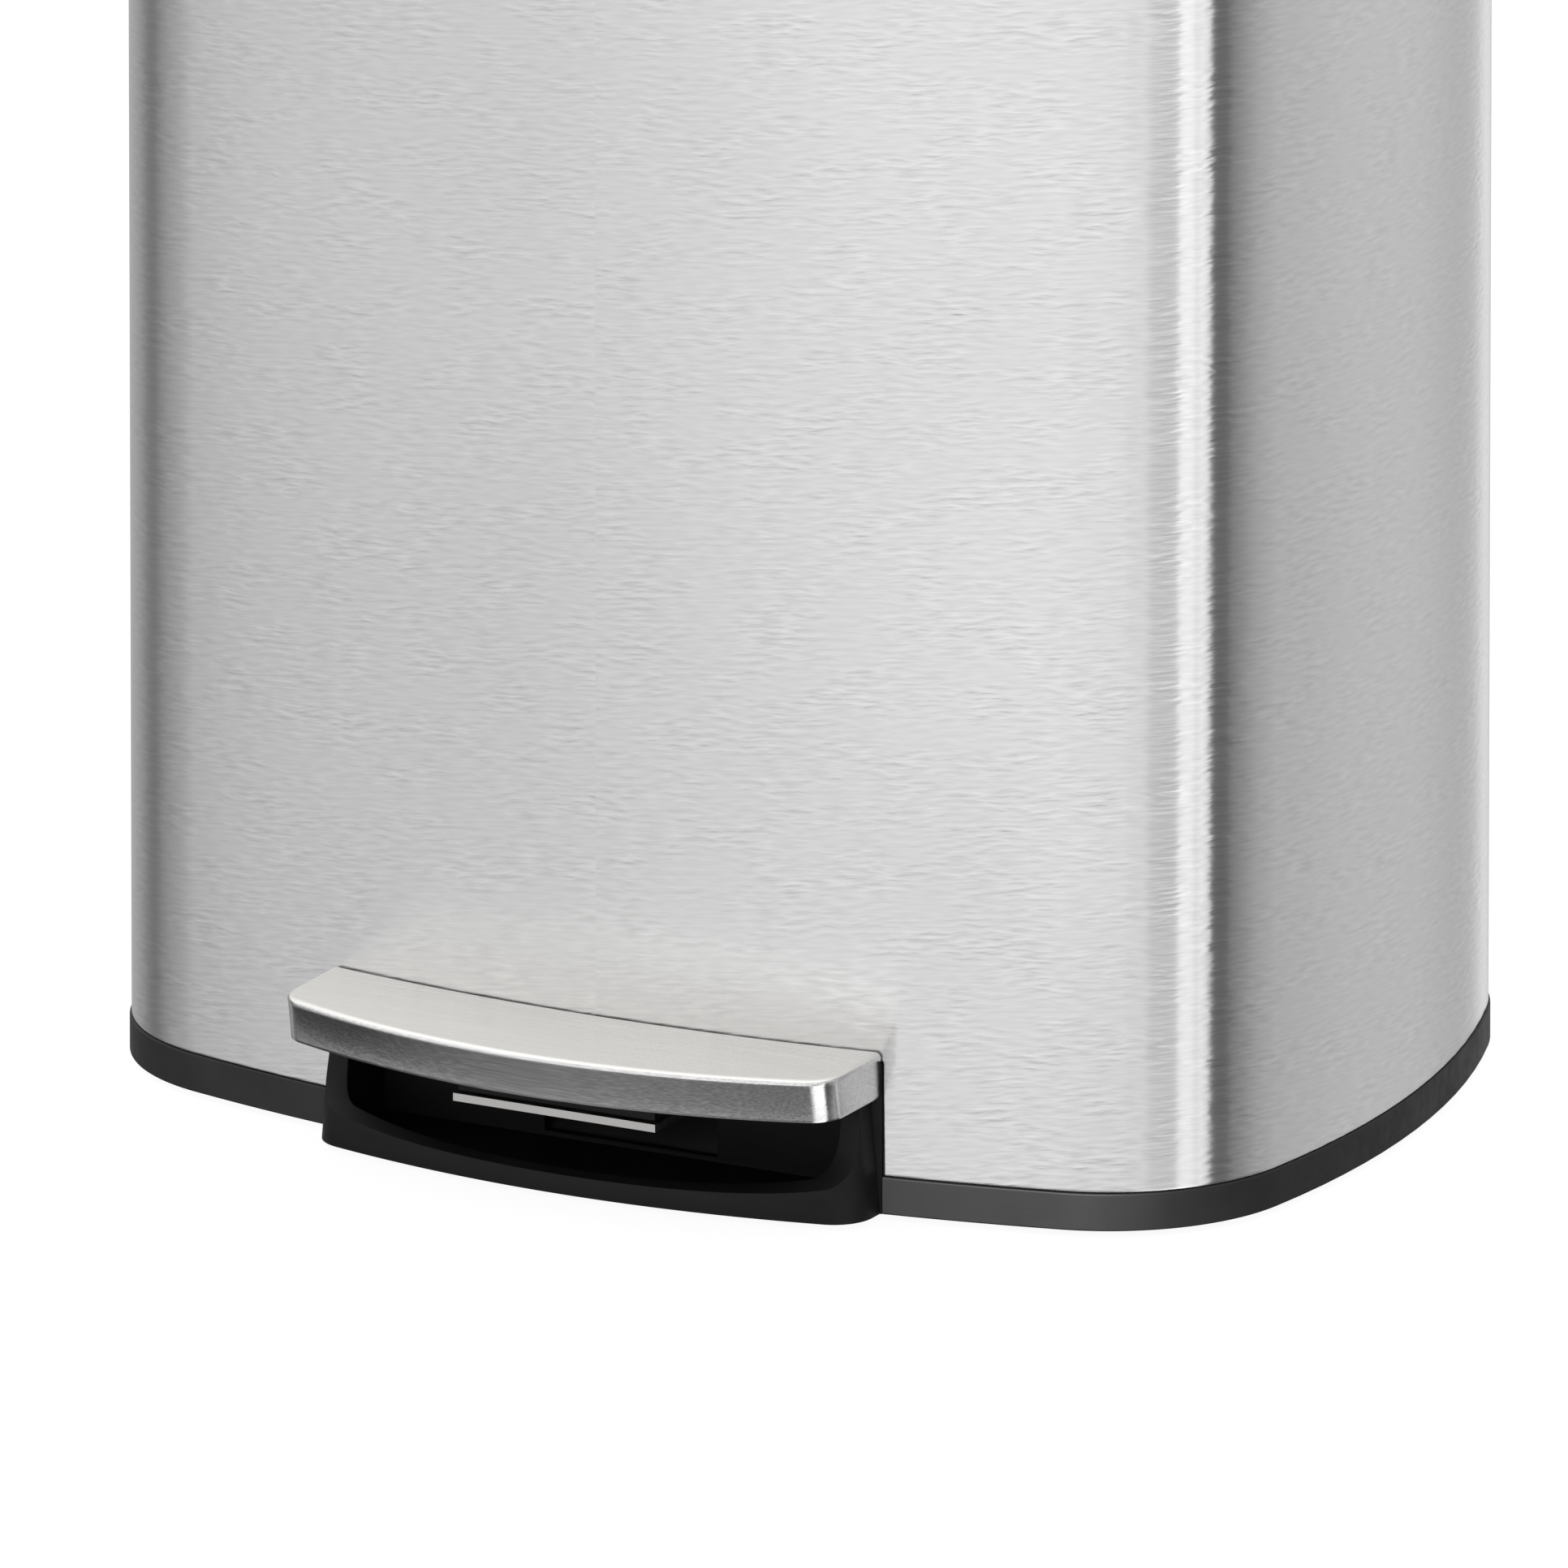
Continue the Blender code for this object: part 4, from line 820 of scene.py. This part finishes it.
def spring():
    """The return spring's coil, at the length of its CAD part."""
    radius, per_turn = SPRING_RADIUS, 24
    low, high = SPRING[0].z + SPRING_WIRE, SPRING[1].z - SPRING_WIRE
    centre = (SPRING[0] + SPRING[1]) / 2
    curve = bpy.data.curves.new("spring_coil", "CURVE")
    curve.dimensions = "3D"
    curve.bevel_depth = SPRING_WIRE
    curve.bevel_resolution = 3
    curve.use_fill_caps = True
    spline = curve.splines.new("POLY")
    steps = SPRING_TURNS * per_turn
    spline.points.add(steps)
    for i, point in enumerate(spline.points):
        turn = 2 * pi * i / per_turn
        z = low + (high - low) * i / steps
        point.co = (centre.x + radius * cos(turn), centre.y + radius * sin(turn), z, 1)
    drawn = bpy.data.objects.new("spring_curve", curve)
    bpy.context.scene.collection.objects.link(drawn)
    graph = bpy.context.evaluated_depsgraph_get()
    mesh = bpy.data.meshes.new_from_object(drawn.evaluated_get(graph))
    bpy.data.objects.remove(drawn, do_unlink=True)
    bm = bmesh.new()
    bm.from_mesh(mesh)
    bmesh.ops.remove_doubles(bm, verts=bm.verts, dist=0.00001)
    bm.to_mesh(mesh)
    bm.free()
    coil = bpy.data.objects.new("spring_coil", mesh)
    bpy.context.scene.collection.objects.link(coil)
    piece(smooth(coil, 50.0), "root", PLATED, "zinc_plated_steel", "return_spring")
    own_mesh(coil)
    return coil


# ---------------------------------------------------------------- the rest of the parts

ROUNDED = (
    ("top_collar", "root", BLACK, "black_plastic", 0.0005),
    ("pedal_core", "pedal", BLACK, "black_plastic", 0.0005),
    ("pedal_lever", "pedal", PLATED, "zinc_plated_steel", 0.0004),
    ("false_floor", "root", GREY, "grey_plastic", 0.0005),
    ("hinge_block", "root", BLACK, "black_plastic", 0.0004),
    ("lid_liner", "lid", BLACK, "black_plastic", 0.0004),
    ("lid_bracket", "lid", PLATED, "zinc_plated_steel", 0.0003),
    ("axle_block_left", "root", GREY, "grey_plastic", 0.0004),
    ("axle_block_right", "root", GREY, "grey_plastic", 0.0004),
    ("rod_guide_lower", "root", GREY, "grey_plastic", 0.0005),
    ("rod_guide_upper", "root", GREY, "grey_plastic", 0.0005),
    ("damper_clip", "root", GREY, "grey_plastic", 0.0005),
    ("damper_arm", "lift_rod", BLACK, "black_plastic", 0.0005),
)


def rounded_parts():
    """The smaller mouldings and pressings, with their edges rounded."""
    for node, body, finish, slot, width in ROUNDED:
        piece(softened(node, width), body, finish, slot, node)


def finish_parts():
    """Gives the CAD parts that stay their materials, by the slot each has in the record."""
    finishes = {
        "brushed_steel": SHEET_STEEL,
        "black_plastic": BLACK,
        "grey_plastic": GREY,
        "bucket_plastic": DARK_GREY,
        "zinc_plated_steel": PLATED,
        "rubber": RUBBER,
    }
    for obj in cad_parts.values():
        for held in obj.material_slots:
            name = held.material.name.split(".")[0]
            held.material = finishes[name]


# ---------------------------------------------------------------- stage, light and camera


FLOOR_HALF_WIDTH = 150.0
FLOOR_GLOW = 0.94


def floor():
    """A plain pale floor."""
    bm = bmesh.new()
    bmesh.ops.create_grid(bm, x_segments=1, y_segments=1, size=FLOOR_HALF_WIDTH)
    made = mesh_object("floor", bm)
    material, tree, shader = new_material("pale_floor")
    where = coordinates(tree, False)
    cloud = noise(tree, where, 3.0, 2.0)
    tree.links.new(tinted(tree, cloud, (0.08, 0.08, 0.08), (0.09, 0.09, 0.09)),
                   shader.inputs["Base Color"])
    shader.inputs["Emission Color"].default_value = (1, 1, 1, 1)
    shader.inputs["Emission Strength"].default_value = FLOOR_GLOW
    shader.inputs["Roughness"].default_value = 0.9
    shader.inputs["Specular IOR Level"].default_value = 0.0
    made.data.materials.append(material)
    made.visible_glossy = False
    return made


# Brightness of the studio round the can at each bearing from the front, in degrees to the right:
# level with the can, below it and above it.
STUDIO = (
    (-170, 1.10), (-163, 0.70), (-152, 0.50), (-124, 0.47), (-113, 0.41), (-100, 0.25), (-93, 0.24),
    (-86, 0.37), (-78, 0.46), (-68, 0.56), (-57, 0.76), (-54, 0.86), (-43, 0.95), (-32, 1.00),
    (-21, 1.13), (-10, 1.25), (1, 1.33), (36, 1.29), (47, 1.02), (52.5, 0.68), (60, 0.60), (66, 0.66),
    (68, 1.26), (76.5, 1.32), (78.2, 0.85), (80, 1.33), (86, 1.33), (87.7, 0.16), (98, 0.18),
    (100.5, 0.30), (120, 0.58), (141, 0.70), (150, 0.76), (165, 0.74), (178, 0.58), (186, 0.60),
)
STUDIO_BELOW = (
    (-170, 0.30), (-124, 0.12), (-100, 0.06), (-68, 0.07), (-48, 0.22), (-28, 0.27), (8, 0.22), (40, 0.22),
    (52, 1.50), (60, 2.00), (86, 2.00), (88, 0.12), (102, 0.10), (178, 0.10),
)
STUDIO_ABOVE = (
    (-170, 1.00), (-90, 1.25), (-46, 1.43), (-36, 1.38), (-25, 1.33), (-10, 1.26), (10, 1.24), (60, 1.20),
    (100, 0.80), (150, 0.95),
)
# Brightness straight above
STUDIO_TOP = 1.5
# Spans of the direction's Z over which each of these takes over from the one below it
LEVEL_FROM = (-0.51, -0.41)
ABOVE_FROM = (0.05, 0.25)
TOP_FROM = (0.60, 0.80)
# The light on the base ring: bearing in degrees, height, distance and size in metres, and watts
RING_LIGHT = (18, 0.5, 1.6, 0.5, 113.0)


def by_bearing(tree, share, stops):
    """A brightness that follows the bearing, straight from stop to stop."""
    peak = 2.0
    stops = sorted(((bearing + 180) % 360 / 360, value / peak) for bearing, value in stops)
    (first, start), (last, end) = stops[0], stops[-1]
    seam = start + (end - start) * first / (first + 1 - last)
    stops = [(0.0, seam)] + stops + [(1.0, seam)]
    ramp = add(tree, "ShaderNodeFloatCurve", {"Value": share})
    curve = ramp.mapping.curves[0]
    for i, (place, value) in enumerate(stops):
        point = curve.points[i] if i < 2 else curve.points.new(place, value)
        point.location = (place, value)
        point.handle_type = "VECTOR"
    ramp.mapping.update()
    return combine(tree, "MULTIPLY", ramp.outputs[0], peak)


def studio():
    """Soft light all round the can, with softboxes and dark flags at set bearings."""
    world = bpy.data.worlds.new("studio")
    bpy.context.scene.world = world
    world.use_nodes = True
    tree = world.node_tree
    background = tree.nodes["Background"]
    way = add(tree, "ShaderNodeTexCoord").outputs["Generated"]
    x, y, z = add(tree, "ShaderNodeSeparateXYZ", {0: way}).outputs
    front = combine(tree, "MULTIPLY", y, -1.0)
    share = spread(tree, combine(tree, "ARCTAN2", x, front), -pi, pi, 0.0, 1.0)
    level, rising, top = (spread(tree, z, *span, 0.0, 1.0) for span in (LEVEL_FROM, ABOVE_FROM, TOP_FROM))
    below, middle, above = (by_bearing(tree, share, at) for at in (STUDIO_BELOW, STUDIO, STUDIO_ABOVE))
    mixed = middle
    for factor, first, second in ((level, below, None), (rising, None, above), (top, None, STUDIO_TOP)):
        pair = (first, mixed) if second is None else (mixed, second)
        mixed = add(tree, "ShaderNodeMix", {0: factor, 2: pair[0], 3: pair[1]}, data_type="FLOAT").outputs[0]
    seen = add(tree, "ShaderNodeLightPath").outputs["Is Camera Ray"]
    shown = add(tree, "ShaderNodeMix", {0: seen, 2: mixed, 3: 1.0}, data_type="FLOAT")
    tree.links.new(shown.outputs[0], background.inputs["Strength"])
    background.inputs["Color"].default_value = (1, 1, 1, 1)


def softbox(name, bearing, height, distance, size, power, *lit):
    """A square area light that looks at the middle of the can, and lights only some pieces."""
    data = bpy.data.lights.new(name, "AREA")
    data.size = size
    data.energy = power
    made = bpy.data.objects.new(name, data)
    bpy.context.scene.collection.objects.link(made)
    turn = radians(bearing)
    place = Vector((sin(turn) * distance, PLAN_Y - cos(turn) * distance, height))
    middle = Vector((0, PLAN_Y, 0))
    facing = (place - middle).to_track_quat("Z", "Y").to_matrix().to_4x4()
    made.matrix_world = Matrix.Translation(place) @ facing
    made.visible_camera = False
    group = bpy.data.collections.new(name + "_lit")
    for obj in lit:
        group.objects.link(obj)
    made.light_linking.receiver_collection = group
    return made


def camera():
    """A long-lens camera, a little above the can and to its right."""
    right = Vector((cos(VIEW_AZIMUTH), sin(VIEW_AZIMUTH), 0))
    back = Vector((sin(VIEW_AZIMUTH) * cos(VIEW_ELEVATION), -cos(VIEW_AZIMUTH) * cos(VIEW_ELEVATION),
                   sin(VIEW_ELEVATION)))
    up = back.cross(right)
    aim = Vector((0, PLAN_Y, TRAY[0].z)) + right * VIEW_RIGHT + up * VIEW_UP
    distance = VIEW_WIDTH * LENS_MM / SENSOR_MM
    data = bpy.data.cameras.new("camera")
    data.lens = LENS_MM
    data.sensor_width = SENSOR_MM
    data.clip_start = 0.1
    data.clip_end = 400.0
    made = bpy.data.objects.new("camera", data)
    bpy.context.scene.collection.objects.link(made)
    axes = Matrix((right, up, back)).transposed().to_4x4()
    made.matrix_world = Matrix.Translation(aim + back * distance) @ axes
    bpy.context.scene.camera = made


camera()
studio()
floor()
finish_parts()
body_sheet()
seam()
housing()
softbox("ring_light", *RING_LIGHT, base())
tread()
lid()
hinge_cover()
bucket()
spring()
rounded_parts()
bpy.context.scene.view_settings.view_transform = "Standard"
bpy.context.view_layer.update()
